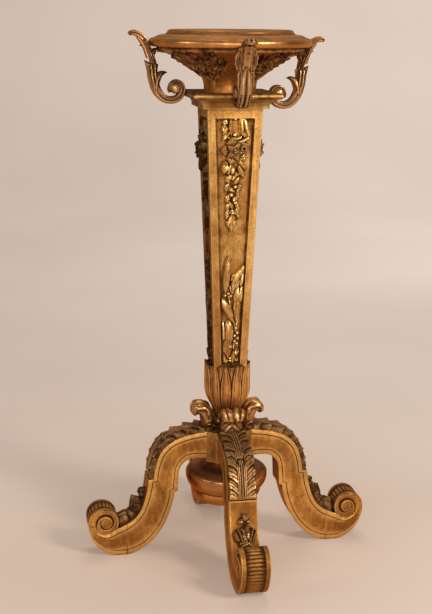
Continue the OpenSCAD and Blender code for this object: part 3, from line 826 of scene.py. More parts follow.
@dataclass(frozen=True)
class Bud:
    """A round bud, berry or petal mass that stands on the ground, in millimetres.

    Attributes:
        x: Place across.
        y: Place upwards.
        wide: Half of its width.
        tall: Half of its height on the ground.
        height: Height over the ground.
        petals: Number of creases cut from its middle.
        hollow: Depth of the hollow in its middle, in shares of the height.
        angle: Turn in degrees.
    """

    x: float
    y: float
    wide: float
    tall: float
    height: float
    petals: int = 0
    hollow: float = 0.0
    angle: float = 0.0

    def carve(self, x: Array, y: Array) -> Array:
        """Height of the bud at each point, below 0 outside it.

        Args:
            x: Places across.
            y: Places upwards.

        Returns:
            One height for each point, below 0 outside.
        """
        a = math.radians(self.angle)
        dx, dy = x - self.x, y - self.y
        dx, dy = dx * math.cos(a) + dy * math.sin(a), dy * math.cos(a) - dx * math.sin(a)
        r = np.hypot(dx / self.wide, dy / self.tall)
        if self.petals:
            fan = np.abs(np.cos(self.petals / 2 * np.arctan2(dy / self.tall, dx / self.wide)))
            r = r / (0.78 + 0.22 * fan**0.5)
        h = hump(r, 2.6) - self.hollow * ditch(r, 0.3)
        if self.petals:
            h = h - 0.35 * clamped(1 - fan * 2.5) * clamped(r * 2)
        return np.where(r < 1, h * self.height, -1)


@dataclass(frozen=True)
class Strand:
    """A stem or a ribbon that runs along a line on the ground, in millimetres.

    Attributes:
        points: Points of its middle line.
        start: Half of its width at the start.
        end: Half of its width at the end.
        height: Height over the ground.
    """

    points: tuple
    start: float
    end: float
    height: float

    def carve(self, x: Array, y: Array) -> Array:
        """Height of the strand at each point, below 0 outside it.

        Args:
            x: Places across.
            y: Places upwards.

        Returns:
            One height for each point, below 0 outside.
        """
        share = np.linspace(0, 1, 50)
        line = Line(self.points).at(share)
        best = np.full(len(x), 1e9)
        t = np.zeros(len(x))
        for k, (px, py) in enumerate(line):
            d = np.hypot(x - px, y - py)
            nearer = d < best
            best, t = np.where(nearer, d, best), np.where(nearer, share[k], t)
        s = best / (self.start + (self.end - self.start) * t)
        return np.where(s < 1, hump(s, 3) * self.height, -1)


Motif = Leaf | Bud | Strand


def together(motifs: Sequence[Motif]) -> Place:
    """Joins motifs into one carving, in which the highest one shows.

    Args:
        motifs: The motifs.

    Returns:
        The height of the carving at each point.
    """

    def carve(x: Array, y: Array) -> Array:
        """Height of the highest motif at each point."""
        return np.maximum.reduce([m.carve(x, y) for m in motifs])

    return carve


@dataclass
class Top:
    """The round top board, the fillet under it and the bell-shaped capital."""

    board_r: float = 171
    plateau_r: float = 125
    nose_r: float = 9
    slope_rise: float = 7
    fillet_r: float = 155
    bell_z: float = 1023
    fillet_z: float = 1107
    board_z: float = 1115
    stand_h: float = 1150
    neck_r: float = 55
    rim_r: float = 146

    def board(self) -> None:
        """Turns the top board with its nose, slope, hollow moulding and plateau."""
        rim_z = self.board_z + self.nose_r
        core = self.board_r - self.nose_r
        ogee_z = self.board_z + 2 * self.nose_r + self.slope_rise
        slope_r = self.plateau_r + 15
        outline = [(0, self.board_z), (core - 14, self.board_z)]
        outline += rounded((core, rim_z), self.nose_r, range(-90, 67, 6))
        slope = Line(
            [(core + 1.2, rim_z + 8.7), (core - 4, rim_z + 10.4)]
            + [(slope_r + 9, ogee_z - 1.2), (slope_r, ogee_z)]
        )
        hollow = Line(
            [(slope_r - 2.5, ogee_z + 0.2), (slope_r - 6.5, ogee_z + 2.6), (slope_r - 8.4, ogee_z + 6.4)]
            + [(self.plateau_r + 3.4, ogee_z + 9), (self.plateau_r, self.stand_h - 0.3)]
        )
        outline += slope.every(4) + hollow.every(3)
        outline += [(self.plateau_r - 2, self.stand_h), (60, self.stand_h), (0, self.stand_h)]
        form = Form()
        form.lathe(outline, 160)
        form.finish("turned_top_board", Slot.gilt_burnished, "top_board")

    def fillet(self) -> None:
        """Turns the thin fillet under the board."""
        r, low, high = self.fillet_r, self.fillet_z, self.board_z
        foot = [(0, low), (r - 6, low), (r - 1, low + 0.2), (r, low + 1.4)]
        form = Form()
        form.lathe([*foot, (r, high - 1), (r - 1, high), (0, high)], 140)
        # Painted shade darkens the whole fillet under the overhang of the board.
        form.finish("turned_top_fillet", Slot.gilt_brown, "top_fillet", dirt_and_shade=even_shade(0.8))

    def bell_line(self) -> Line:
        """The side of the bell from its neck to its rim, as radius and height.

        Returns:
            The line.
        """
        height = self.fillet_z - self.bell_z
        share = np.linspace(0, 1, 25)
        radius = self.neck_r + (self.rim_r - self.neck_r) * share**2.7
        return Line(np.column_stack([radius, self.bell_z + height * share]), 3)

    def bell(self) -> None:
        """Turns the bell."""
        form = Form()
        form.lathe([(0, self.bell_z), *self.bell_line().every(1), (0, self.fillet_z)], 140)
        form.finish("turned_bell", Slot.gilt_brown, "bell_capital")

    def spray(self, corner: Diagonal) -> None:
        """Carves the foliage that hangs from the rim on one diagonal of the bell.

        Args:
            corner: The diagonal.
        """
        line, at_rim = self.bell_line(), 122
        motifs: list[Motif] = [
            Leaf(2, 46, 4, 84, 18, 10, lobes=6, steps=0.15, edge=3.0),
            Leaf(0, 6, 0, 44, 14, 8, lobes=4, edge=3.0),
            Strand(((0, 2), (2, 30), (0, 60)), 2.6, 3.6, 6.5),
            Leaf(-30, 96, 24, 34, 15, 11, lobes=4, edge=3.0),
            Leaf(27, 104, -30, 30, 14, 11, lobes=4, edge=3.0),
        ]
        for s in (-1, 1):
            motifs += [
                Leaf(s * 4, 38, -s * 14, 88 - s * 10, 15, 12, bow=s * 0.06, lobes=6, steps=0.15, edge=3.0),
                Leaf(s * 5, 34, -s * 26, 100 + s * 12, 17, 9, lobes=7, steps=0.12, edge=3.0),
                Leaf(s * 7, 30, -s * 39, 92 - s * 8, 16, 12.5, bow=-s * 0.06, lobes=5, steps=0.3, edge=3.0),
                Leaf(s * 8, 26, -s * 52, 58 + s * 8, 15, 10, bow=-s * 0.2, lobes=4, steps=0.3, edge=3.0),
                Leaf(s * 4, 18, -s * 46, 34, 12, 9, bow=-s * 0.25, lobes=3, edge=3.0),
                Bud(s * 12, 44, 5, 5, 12.5, petals=3),
                Bud(s * 22, 58, 4.5, 4.5, 12.5, petals=3),
                Bud(s * 17, 50, 4, 4, 12, petals=2),
            ]
        grown = together(motifs)

        def carve(x: Array, y: Array) -> Array:
            """Height of the foliage, which thins out towards the rim."""
            h = grown(x, y)
            return np.where(h > 0, h * (1 - 0.45 * clamped((y - 50) / 60)), h)

        def place(p: Array) -> Array:
            """Wraps the flat field round the bell.

            Args:
                p: Places across and up the field, and heights over it.

            Returns:
                One row of x, y and z a point.
            """
            share = clamped((p[:, 1] + line.length - at_rim) / line.length)
            spot, out = line.at(share), -line.normal(share)
            reach = spot[:, 0] + out[:, 0] * p[:, 2] + np.clip(p[:, 1] - at_rim, 0, 20)
            turn = p[:, 0] / np.maximum(spot[:, 0], 60)
            up = np.minimum(spot[:, 1] + out[:, 1] * p[:, 2], self.fillet_z - 0.2)
            return turned(reach * np.sin(turn), reach * np.cos(turn), up, corner.value)

        def dirt_and_shade(co: Array) -> Array:
            """Darker all over, more towards the rim, in uneven patches."""
            return 0.62 + 0.35 * clamped((co[:, 2] - 1065) / 35) + 0.35 * ripple(co, 18)

        form = Form()
        form.relief((-84, 0, 84, 141), 1.1, carve, place)
        name = corner.name
        form.finish(f"carved_bell_spray_{name}", Slot.gilt_brown, f"bell_spray_{name}", dirt_and_shade=dirt_and_shade)


@dataclass
class Abacus:
    """The square plate under the bell and the hollow moulding under it."""

    width: float = 188
    plate_z: float = 1011
    plate_h: float = 12
    cove_z: float = 991
    cove_h: float = 20
    cove_top: float = 176
    cove_foot: float = 140

    def square(self, outline: Outline, corner: float) -> Form:
        """Runs a moulding round a square.

        Args:
            outline: Half width and height of the moulding, from the foot to the top.
            corner: Radius to which the corners are worn.

        Returns:
            The closed form.
        """
        p = np.array([(0.0, outline[0][1]), *outline, (0.0, outline[-1][1])])
        bends, runs = 6, 8
        steps = bends + runs

        def place(u: Array, v: Array) -> Array:
            """Places points round the square, with a few close together at each corner.

            Args:
                u: Shares of the way round.
                v: Shares of the way along.

            Returns:
                One row of x, y and z a point.
            """
            row = np.round(v * (len(p) - 1)).astype(int)
            half, z = p[row, 0], p[row, 1]
            k = np.round(u * 4 * steps).astype(int)
            side, step = (k // steps) % 4, k % steps
            r = np.minimum(corner, half)
            bend = np.radians(90 * np.minimum(step, bends) / bends)
            run = clamped((step - bends) / runs) * 2 * (half - r)
            x = np.where(step <= bends, half - r + r * np.cos(bend), half - r - run)
            y = np.where(step <= bends, half - r + r * np.sin(bend), half)
            a = side * math.pi / 2
            return np.column_stack([x * np.cos(a) - y * np.sin(a), x * np.sin(a) + y * np.cos(a), z])

        form = Form()
        form.sheet(4 * steps, len(p) - 1, place)
        return form

    def plate(self) -> None:
        """Makes the square plate, whose edge is a bull nose."""
        r, half = self.plate_h / 2, self.width / 2
        nose = rounded((half - r, self.plate_z + r), r, range(-90, 91, 10))

        def dirt_and_shade(co: Array) -> Array:
            """Darker all over in uneven patches, but for a painted highlight along the nose."""
            # A painted highlight runs along the nose.
            rubbed = ditch(co[:, 2] - self.plate_z - 1.25 * r, 0.35 * r)
            return 0.9 - 0.65 * rubbed + 0.2 * ripple(co, 40)

        form = self.square([(half - r - 6, self.plate_z), *nose, (half - r - 6, self.plate_z + 2 * r)], 2.5)
        form.finish("moulded_abacus_plate", Slot.gilt_frame, "abacus_plate", dirt_and_shade=dirt_and_shade)

    def cove(self) -> None:
        """Makes the hollow moulding under the plate."""
        foot, run = self.cove_h * 0.2, (self.cove_top - self.cove_foot) / 2
        half = self.cove_foot / 2
        hollow = scooped((half, self.cove_z + foot), (run, self.cove_h - foot), range(0, 91, 6))

        def dirt_and_shade(co: Array) -> Array:
            """Dirt all over, in uneven patches."""
            return 0.62 + 0.25 * ripple(co, 30)

        form = self.square([(half, self.cove_z), (half + 0.5, self.cove_z + foot - 1), *hollow], 1.5)
        form.finish("moulded_abacus_cove", Slot.gilt_frame, "abacus_cove", dirt_and_shade=dirt_and_shade)


@dataclass(frozen=True)
class Husk:
    """One husk that wraps the stem of a bracket.

    Attributes:
        path: Its middle line, in percent of the bracket's plane.
        width: Width of the bracket.
        swell: Its own width at each station, in shares of the bracket's.
        deep: Its thickness at each station.
        creases: Place, depth and width of each crease along it.
        stations: Shares of its length at which the sizes are given.
    """

    path: Outline
    width: float
    swell: tuple
    deep: tuple
    creases: tuple
    stations: tuple = (0, 0.12, 0.42, 0.75, 1.0)

    def section(self, a: Array, v: Array) -> Array:
        """Section of the husk, ragged along its edges and creased along its length.

        Args:
            a: Turns round the section.
            v: Shares of the way along it.

        Returns:
            Width and thickness, one pair in each row.
        """
        round_off = blunt(np.sin(a), 0.7)
        lobe = 1 + 0.03 * np.sin(23 * v) - 0.17 * (0.5 + 0.5 * np.cos(8.5 * round_off + 2 * v)) ** 1.5
        x = blunt(np.cos(a), 0.6) * self.width / 2 * np.interp(v, self.stations, self.swell) * lobe
        cuts = sum(depth * ditch(np.abs(x) - place, width) for place, depth, width in self.creases)
        return np.column_stack([x, round_off * np.interp(v, self.stations, self.deep) * (1 - 0.3 * cuts)])


@dataclass
class Bracket:
    """One S-scroll bracket between the abacus and the rim of the top."""

    side: Side
    width: float = 26
    stem: float = 16
    bell_z: float = 1023
    rim_z: float = 1124
    abacus_half: float = 94
    board_r: float = 171
    front_short: float = 8

    def spot(self, u: float, v: float) -> tuple[float, float]:
        """A point of the bracket's plane, from percent to distance out and height.

        Args:
            u: Percent of the way out.
            v: Percent of the way up.

        Returns:
            The point.
        """
        set_in = 0 if self.side is Side.left else 12
        rise = self.rim_z - self.bell_z
        squat = 1 - self.front_short / rise if self.side is Side.front else 1
        out = self.abacus_half + u / 100 * (self.board_r - self.abacus_half) - set_in
        return out, self.rim_z - (1 - v / 100) * rise * squat - set_in

    def line(self, percent: Sequence[tuple[float, float, float]]) -> Line:
        """A line of the bracket's plane whose third value is kept."""
        return Line([(*self.spot(u, v), w) for u, v, w in percent])

    def build(self) -> None:
        """Carves the bracket: its stem, its curl, and the leaves that wrap it."""
        form = Form()
        half, stem = self.width / 2, self.stem / 2
        body = self.line(
            [(155, 115, 40), (149, 118, 62), (139, 118.5, 76), (125, 113, 80), (112, 103, 78)]
            + [(103, 88, 74), (94, 71, 72), (89.5, 54, 90), (90.5, 36, 104), (87, 17, 115)]
            + [(76.5, -2, 112), (60, -14, 104), (39, -17, 98), (19.5, -11, 92), (10.5, 3, 82)]
            + [(15, 16, 68), (28, 20.5, 58), (40, 16, 52), (46, 6, 46), (44, -1, 36)]
        )

        def fluted(a: Array, v: Array) -> Array:
            """Section of the stem, with lengthwise flutes on its faces and a flared tip.

            Args:
                a: Turns round the section.
                v: Shares of the way along it.

            Returns:
                Width and thickness, one pair in each row.
            """
            flare = 1 + 0.1 * clamped(1 - v / 0.08) - 0.12 * clamped((v - 0.8) / 0.2)
            x = blunt(np.cos(a), 0.55) * half * flare
            thick = body.at(v)[:, 2] / 100 * stem
            across = blunt(np.sin(a), 0.5)
            x = x * (1 - 0.12 * (ditch(across - 0.1, 0.22) + 0.7 * ditch(across + 0.6, 0.16)))
            y = across * thick
            groove = 1.5 * ditch(x, 1.5) + ditch(np.abs(x) - 8.6, 1.3)
            tip = clamped(v / 0.02) ** 0.5
            return np.column_stack([x * tip, y * (1 - 0.34 * groove * (np.abs(np.sin(a)) > 0.2))])

        form.blade(body, fluted, self.side.value, (56, 200))
        w = half + 1.5
        cap = [(-w, 0), (-w + 0.5, 4.6), (-w + 2, 8.2), (-w + 4.5, 10.8), (-w + 8, 12)]
        ball = np.array([*cap, *[(-x, r) for x, r in reversed(cap)]])
        out, up = self.spot(29, 7.5)

        def eye(u: Array, v: Array) -> Array:
            """Turns the ball in the eye of the scroll.

            Args:
                u: Shares of the way round.
                v: Shares of the way along.

            Returns:
                One row of x, y and z a point.
            """
            t = 2 * math.pi * u
            across, r = ball[np.round(v * (len(ball) - 1)).astype(int)].T
            return turned(across, out + r * np.cos(t), up + r * np.sin(t), self.side.value)

        form.sheet(36, len(ball) - 1, eye)
        self.wrap(form)
        form.finish(f"carved_bracket_{self.side.name}", Slot.gilt_bracket, f"bracket_{self.side.name}")

    def wrap(self, form: Form) -> None:
        """Adds the husks that wrap the stem, and the leaf tips that stand off it.

        Args:
            form: The bracket's form.
        """
        lower = Husk(
            path=((92, 56), (91.5, 44), (91, 33), (88, 20), (81, 4), (69, -9), (54, -15)),
            width=self.width,
            swell=(1.15, 1.36, 1.25, 0.92, 0.3),
            deep=(12.5, 10.2, 10.4, 9.6, 4.0),
            creases=((0, 2.4, 2.0), (8.5, 1.3, 1.2), (13.5, 0.7, 1.2)),
        )
        upper = Husk(
            path=((119, 108), (109, 97), (101, 84), (94, 71), (90, 58), (89, 46)),
            width=self.width,
            swell=(0.8, 1.4, 1.84, 1.6, 0.7),
            deep=(4.0, 5.0, 6.4, 6.0, 4.0),
            creases=((10.6, 2.6, 2.0), (15.5, 1.6, 1.2), (19.5, 1.2, 1.2)),
        )
        for husk in (lower, upper):
            line = self.line([(u, v, 0) for u, v in husk.path])
            form.blade(line, husk.section, self.side.value, (72, 76))
        tongue = self.line([(131, 110, 6), (119, 99, 9), (111, 87, 9), (105.5, 75, 9), (103.5, 68, 8)])

        def smooth(a: Array, v: Array) -> Array:
            """Section of the plain tongue in the middle, blunt at its foot."""
            x = blunt(np.cos(a), 0.45) * (9.4 - 1.2 * v)
            return np.column_stack([x, blunt(np.sin(a), 0.6) * tongue.at(v)[:, 2] / 2])

        form.blade(tongue, smooth, self.side.value, (28, 30))
        tips = [
            ([(86, 2, 10), (82, 20, 15), (74, 33, 14), (63, 38.5, 10), (51, 39, 2)], 30),
            ([(90, 8, 12), (94, 30, 17), (99, 46, 14), (106, 57, 10), (114, 64, 2)], 30),
            ([(100, 76, 12), (106, 88, 13), (115, 93.5, 10), (127, 93, 2)], 24),
            ([(96, 70, 10), (90, 80, 12), (84, 85, 9), (78, 86, 1.5)], 24),
        ]
        for percent, wide in tips:
            line = self.line(percent)

            def pointed(a: Array, v: Array, line: Line = line, wide: float = wide) -> Array:
                """Section of a leaf tip, creased along its middle.

                Args:
                    a: Turns round the section.
                    v: Shares of the way along it.
                    line: The tip's middle line.
                    wide: Its width.

                Returns:
                    Width and thickness, one pair in each row.
                """
                x = blunt(np.cos(a), 0.7) * wide / 2 * (1 - v**3)
                thick = line.at(v)[:, 2] / 2
                ridge = 0.55 + 0.45 * np.abs(np.sin(math.pi * 2 * x / wide)) ** 0.6
                y = np.sin(a) * thick * ridge + 1.6 * (2 * x / wide) ** 2 * (1 - v)
                return np.column_stack([x, y])

            form.blade(line, pointed, self.side.value, (36, 36))


@dataclass
class Face:
    """The frame of one face of the tapered shaft: across, up its slope and out of it."""

    side: Side
    foot_w: float = 73
    top_w: float = 118
    height: float = 561
    foot_z: float = 430
    frame_w: float = 16
    top_rail: float = 20
    bottom_rail: float = 4
    depth: float = 7
    bead_w: float = 4

    @property
    def length(self) -> float:
        """Length of the face along its slope."""
        return math.hypot(self.height, (self.top_w - self.foot_w) / 2)

    def half(self, y: Array) -> Array:
        """Half of the face's width at a distance up its slope."""
        return self.foot_w / 2 + (self.top_w - self.foot_w) / 2 * y / self.length

    def place(self, p: Array) -> Array:
        """Places points of the face, whose third value is how far out of it they stand.

        Args:
            p: Points across, up the slope and out of the face.

        Returns:
            One row of x, y and z a point.
        """
        lean = math.atan2((self.top_w - self.foot_w) / 2, self.height)
        up, out = p[:, 1] * math.cos(lean), p[:, 1] * math.sin(lean)
        out = self.foot_w / 2 + out + p[:, 2] * math.cos(lean)
        return turned(p[:, 0], out, self.foot_z + up - p[:, 2] * math.sin(lean), self.side.value)

    def shade(self, co: Array) -> Array:
        """Painted shade on the carving of the faces turned from the key lamp, the left darkest, and a darker
        band at the rose's height.
        """
        # Painted shade: the left face darkest, then the right and the rear.
        dark = {Side.left: 1.0, Side.right: 0.6, Side.rear: 0.4}.get(self.side, 0.0)
        return dark + 0.3 * ditch(co[:, 2] - self.foot_z - 0.845 * self.height, 18)

    def on_panel(self, p: Array) -> Array:
        """Places points that stand on the sunk panel."""
        return self.place(p - np.array([0, 0, self.depth]))


@dataclass
class ShaftBoard:
    """One mitred board of the shaft, with its frame and its sunk, moulded panel."""

    face: Face
    drawn_w: float = 100
    moulding: float = 6
    mitre: float = 9
    thick: float = 9.5
    ease: float = 0.45

    def steps(self, length: float, low: float, high: float, middle: int) -> Array:
        """Distances across a board, close together where the moulding runs.

        Args:
            length: Whole distance.
            low: Width of the frame at the start.
            high: Width of the frame at the end.
            middle: Steps across the panel's field.

        Returns:
            The distances in order.
        """
        inner = np.array([-1.5, -0.4, 0.0, 0.5, 1.1, 1.7, 2.3, 2.9, 3.4, 3.8, 4.1, 4.4, 6.0])
        start = np.concatenate([[0, 1.1], np.linspace(2.0, low - 2.0, 3), low + inner])
        end = length - np.concatenate([[0, 1.1], np.linspace(2.0, high - 2.0, 3), high + inner])[::-1]
        return np.concatenate([start, np.linspace(start[-1], end[0], middle + 1)[1:-1], end])

    def build(self) -> None:
        """Makes the board."""
        f = self.face
        rows = self.steps(f.length, f.bottom_rail, f.top_rail, 200)
        cols = self.steps(self.drawn_w, f.frame_w, f.frame_w, 24)
        cut = ([-0.4, 0, 0.5, 1.1, 1.7, 2.3, 2.9, 3.4], [0, 0.6, 2.8, 3.6, 3.9, 4.6, 6.4, 7])
        patch = bmesh.new()
        bmesh.ops.create_grid(patch, x_segments=len(cols) - 1, y_segments=len(rows) - 1, size=0.5)
        rim = bmesh.ops.extrude_edge_only(patch, edges=[e for e in patch.edges if e.is_boundary])["geom"]
        rim = [v for v in rim if isinstance(v, bmesh.types.BMVert)]
        bmesh.ops.translate(patch, verts=rim, vec=(0, 0, 1))

        def place(co: Array) -> Array:
            """Fits the grid to the tapered face and sinks its panel.

            Args:
                co: Points of the flat grid.

            Returns:
                One row of x, y and z a point.
            """
            col = np.round((co[:, 0] + 0.5) * (len(cols) - 1)).astype(int)
            row = np.round((co[:, 1] + 0.5) * (len(rows) - 1)).astype(int)
            y, half = rows[row], f.half(rows[row])
            from_left = col < len(cols) / 2
            edge = np.where(from_left, cols[col], self.drawn_w - cols[col])
            border = f.frame_w + self.moulding
            middle = (edge > border) | (np.abs(cols[col] - self.drawn_w / 2) < self.drawn_w / 4)
            share = (cols[col] - border) / (self.drawn_w - 2 * border)
            field = border - half + share * (2 * half - 2 * border)
            x = np.where(middle, field, np.where(from_left, edge - half, half - edge))
            inside = np.minimum(half - np.abs(x) - f.frame_w, y - f.bottom_rail)
            inside = np.minimum(inside, f.length - f.top_rail - y)
            corner = half - np.abs(x) < 0.5
            sunk = np.interp(inside, *cut) + np.where(corner, self.ease, 0)
            x = np.where(corner, x - np.sign(x) * self.ease, x)
            uneven = ripple(np.column_stack([x, y, 0 * x]), 30, f.side.value) * 0.25
            back = co[:, 2] > 0.5
            out = np.where(back, -self.thick, np.where(inside > 5, uneven, 0) - sunk)
            x = np.where(back, x - np.sign(x) * self.mitre, x)
            return f.place(np.column_stack([x, y, out]))

        def dirt_and_shade(co: Array) -> Array:
            """Painted shade on the left board, on the right inner wall of the sunk panel and falling off down
            the board and to its left; the sunk panel, the left stile and the bottom rail are darker too.

            Args:
                co: Points of the piece.

            Returns:
                The added dirt at each point.
            """
            flat = turned(co[:, 0], -co[:, 1], co[:, 2], -f.side.value)
            deep = f.foot_w / 2 + (f.top_w - f.foot_w) / 2 * (flat[:, 2] - f.foot_z) / f.height + flat[:, 1]
            # Painted shade that falls off down the board, more to its left.
            down = clamped((f.foot_z + f.height - 20 - flat[:, 2]) / 160)
            left = clamped(0.5 - flat[:, 0] / 90)
            # Painted shade on the left board.
            dark = 0.4 if f.side is Side.left else 0.0
            # Painted shadow on the right inner wall of the sunk panel.
            wall = clamped((flat[:, 0] - 10) / 4) * clamped(deep / 1.5) * clamped((6.6 - deep) / 1.5)
            # Adds the wall's painted shadow, and a darker left stile.
            dark = dark + 0.9 * wall + 0.16 * clamped(-(flat[:, 0] + 22) / 4)
            foot = clamped((f.foot_z + f.bottom_rail + 1 - flat[:, 2]) / 1.5)
            foot = foot * clamped((f.foot_w / 2 - 9 - np.abs(flat[:, 0])) / 4)
            return dark + 0.3 * clamped(deep / 5) + down * (0.1 + 0.14 * left) + foot

        form = Form()
        form.add(patch, place)
        name = f.side.name
        form.finish(f"panelled_shaft_board_{name}", Slot.gilt_frame, f"shaft_board_{name}", dirt_and_shade=dirt_and_shade)


@dataclass
class FlowerDrop:
    """The applied carving at the head of a panel: a tied ribbon, a rose, buds and small flowers."""

    face: Face

    def motifs(self) -> list[Motif]:
        """The motifs in the panel's own frame, with their heights over the sunk panel.

        Returns:
            The motifs.
        """
        bow = [
            Bud(-21, 534, 6.5, 6.5, 10, hollow=0.25),
            Leaf(-19, 504, 9, 30, 15, 10, lobes=2, cup=0.2, edge=2.2),
            Leaf(-9, 503, 0, 42, 10, 10, rise=0.0),
            Bud(2, 540, 4, 5, 5, petals=2),
            Leaf(26, 499, 14, 54, 24, 8, cup=0.2, rise=0.1),
            Bud(25, 522, 6, 24, 11, angle=16),
            Bud(15, 526, 4.5, 17, 10.5, angle=6),
            Strand(((-14, 502), (2, 499), (12, 502)), 3.6, 3.2, 9.5),
            Strand(((6, 492), (16, 494), (28, 501)), 3.2, 3.6, 10),
        ]
        petals: list[Motif] = [Bud(0, 474, 17, 17, 21), Bud(17, 479, 11, 11, 17)]
        petals += [Leaf(0, 474, a, 30, 27, 17, cup=0.1, rise=0.4, edge=1.6) for a in (18, 88, 160, 232, 300)]
        inner = (55, 125, 195, 265, 335)
        petals += [Leaf(0, 474, a, 20, 18, 24, cup=0.15, rise=0.2, edge=1.6) for a in inner]
        petals += [
            Bud(0, 475, 8, 7, 27, petals=3, hollow=0.15),
            Bud(17, 480, 9, 8, 25, hollow=0.9, angle=30),
            Leaf(-26, 496, -40, 26, 12, 12),
        ]
        buds = [
            Bud(-15, 438, 14, 17, 17, petals=2, angle=-14),
            Bud(-5, 434, 7, 11, 19),
            Bud(-9, 420, 10, 10, 9.5, petals=2, angle=70),
            Leaf(8, 462, 208, 34, 13, 11),
            Leaf(9, 444, 205, 32, 15, 12, cup=0.05),
            Leaf(6, 430, 150, 22, 12, 9),
            Leaf(18, 430, 120, 20, 10, 8, cup=0.1),
        ]
        spots = [(-12, 411, 20), (4, 409, -30), (12, 398, 150), (-15, 394, -15), (-2, 390, 60), (9, 383, 10)]
        spots += [(-12, 375, 170), (2, 371, -40), (-5, 357, 30), (8, 359, 200), (-13, 354, -20), (2, 342, 80)]
        small: list[Motif] = []
        for k, (x, y, a) in enumerate(spots):
            foot = x + 5 * math.sin(math.radians(a)), y - 6 * math.cos(math.radians(a))
            small.append(Leaf(*foot, a, 19, 12.5, 7.5 + 1.5 * (k % 3)))
        small += [Bud(3, 398, 5, 5, 12), Bud(-6, 381, 5.5, 5.5, 12)]
        small += [Bud(4, 364, 5, 5, 11), Bud(-3, 347, 4.5, 4.5, 10)]
        sprigs = [Leaf(6, 352, 196, 24, 11, 8, cup=0.1, edge=3.0)]
        sprigs += [Leaf(-11, 350, 170, 22, 10, 8, cup=0.1, edge=3.0)]
        stem = Strand(((0, 505), (-2, 440), (2, 400), (-4, 350), (-6, 318)), 5, 4, 4)
        tip = Leaf(-4, 340, 180, 38, 24, 9.5, lobes=2, cup=0.1, edge=2.2)
        return [*bow, *petals, *buds, *small, *sprigs, stem, tip]

    def build(self) -> None:
        """Carves the drop."""
        carve = together(self.motifs())
        form = Form()
        form.relief((-35, 298, 36, 541), 1.05, carve, self.face.on_panel)
        name, shade = self.face.side.name, self.face.shade
        form.finish(f"carved_flower_drop_{name}", Slot.gilt_carving, f"flower_drop_{name}", dirt_and_shade=shade)


@dataclass
class LeafSpray:
    """The applied carving that climbs from the foot of a panel: leaves and berries on a stem."""

    face: Face
    foot: float = 7
    top: float = 252
    squeeze: float = 0.91

    def build(self) -> None:
        """Carves the spray and keeps it inside the panel's moulding."""
        f = self.face
        motifs: list[Motif] = [
            Leaf(-14, 180, -3, 92, 17, 10),
            Bud(-10, 248, 7, 24, 12, angle=-5),
            Leaf(0, 180, -16, 76, 30, 9.5, bow=0.1, lobes=2, cup=0.1),
            Bud(10, 222, 7, 22, 11.5, angle=-24),
            Bud(21, 214, 5, 18, 11, angle=-8),
            Bud(15, 178, 12.5, 27, 12, petals=2, angle=-6),
            Leaf(10, 112, -3, 70, 18, 10),
            Bud(-10, 144, 9.5, 31, 12.5, angle=27),
            Leaf(9, 104, 30, 50, 12, 9.5),
            Bud(-5, 84, 12, 32, 12.5, angle=2),
            Bud(-17, 88, 5, 26, 9.5, angle=4),
            Leaf(-7, 20, 0, 60, 24, 10.5, rise=0.1),
            Bud(-3, 50, 7, 9, 12.5, petals=2),
            Leaf(-11, 6, 14, 32, 14, 11.5),
            Leaf(3, 6, -4, 36, 15, 12),
            Bud(10, 34, 7, 14, 12.5, petals=2, angle=-30),
            Bud(0, 18, 9, 9, 12, petals=3, hollow=0.3),
            Bud(-12, 14, 8, 7, 11, petals=2),
            Bud(12, 16, 6, 6, 11, petals=2),
            Strand(((2, 12), (6, 50), (9, 90), (0, 130), (-9, 190)), 3.2, 2.4, 7),
            Strand(((9, 90), (16, 130)), 2.8, 2.8, 7),
        ]
        berries = [(26, 234, 5, 12.5), (-15, 178, 4.5, 11.5), (-8, 182, 4.5, 12.5), (-3, 176, 4.5, 11.5)]
        berries += [(10, 96, 5, 11), (13, 84, 5, 11.5), (7, 77, 5, 12)]
        berries += [(14, 70, 4.5, 11), (7, 64, 5, 12.5), (12, 58, 4.5, 11.5)]
        motifs += [Bud(x, y, r, r, height) for x, y, r, height in berries]
        carve = together(motifs)

        def cut(x: Array, y: Array) -> Array:
            """The carving, cut where it meets the moulding."""
            clear = np.minimum(f.half(y) - f.frame_w - f.bead_w - np.abs(x), y - f.bottom_rail - f.bead_w)
            return np.where(clear > 0.2, carve(x, self.foot + (y - self.foot) / self.squeeze), -1)

        form = Form()
        form.relief((-32, self.foot, 32, self.top), 1.0, cut, f.on_panel)
        name = f.side.name
        form.finish(f"carved_leaf_spray_{name}", Slot.gilt_carving, f"leaf_spray_{name}", dirt_and_shade=f.shade)


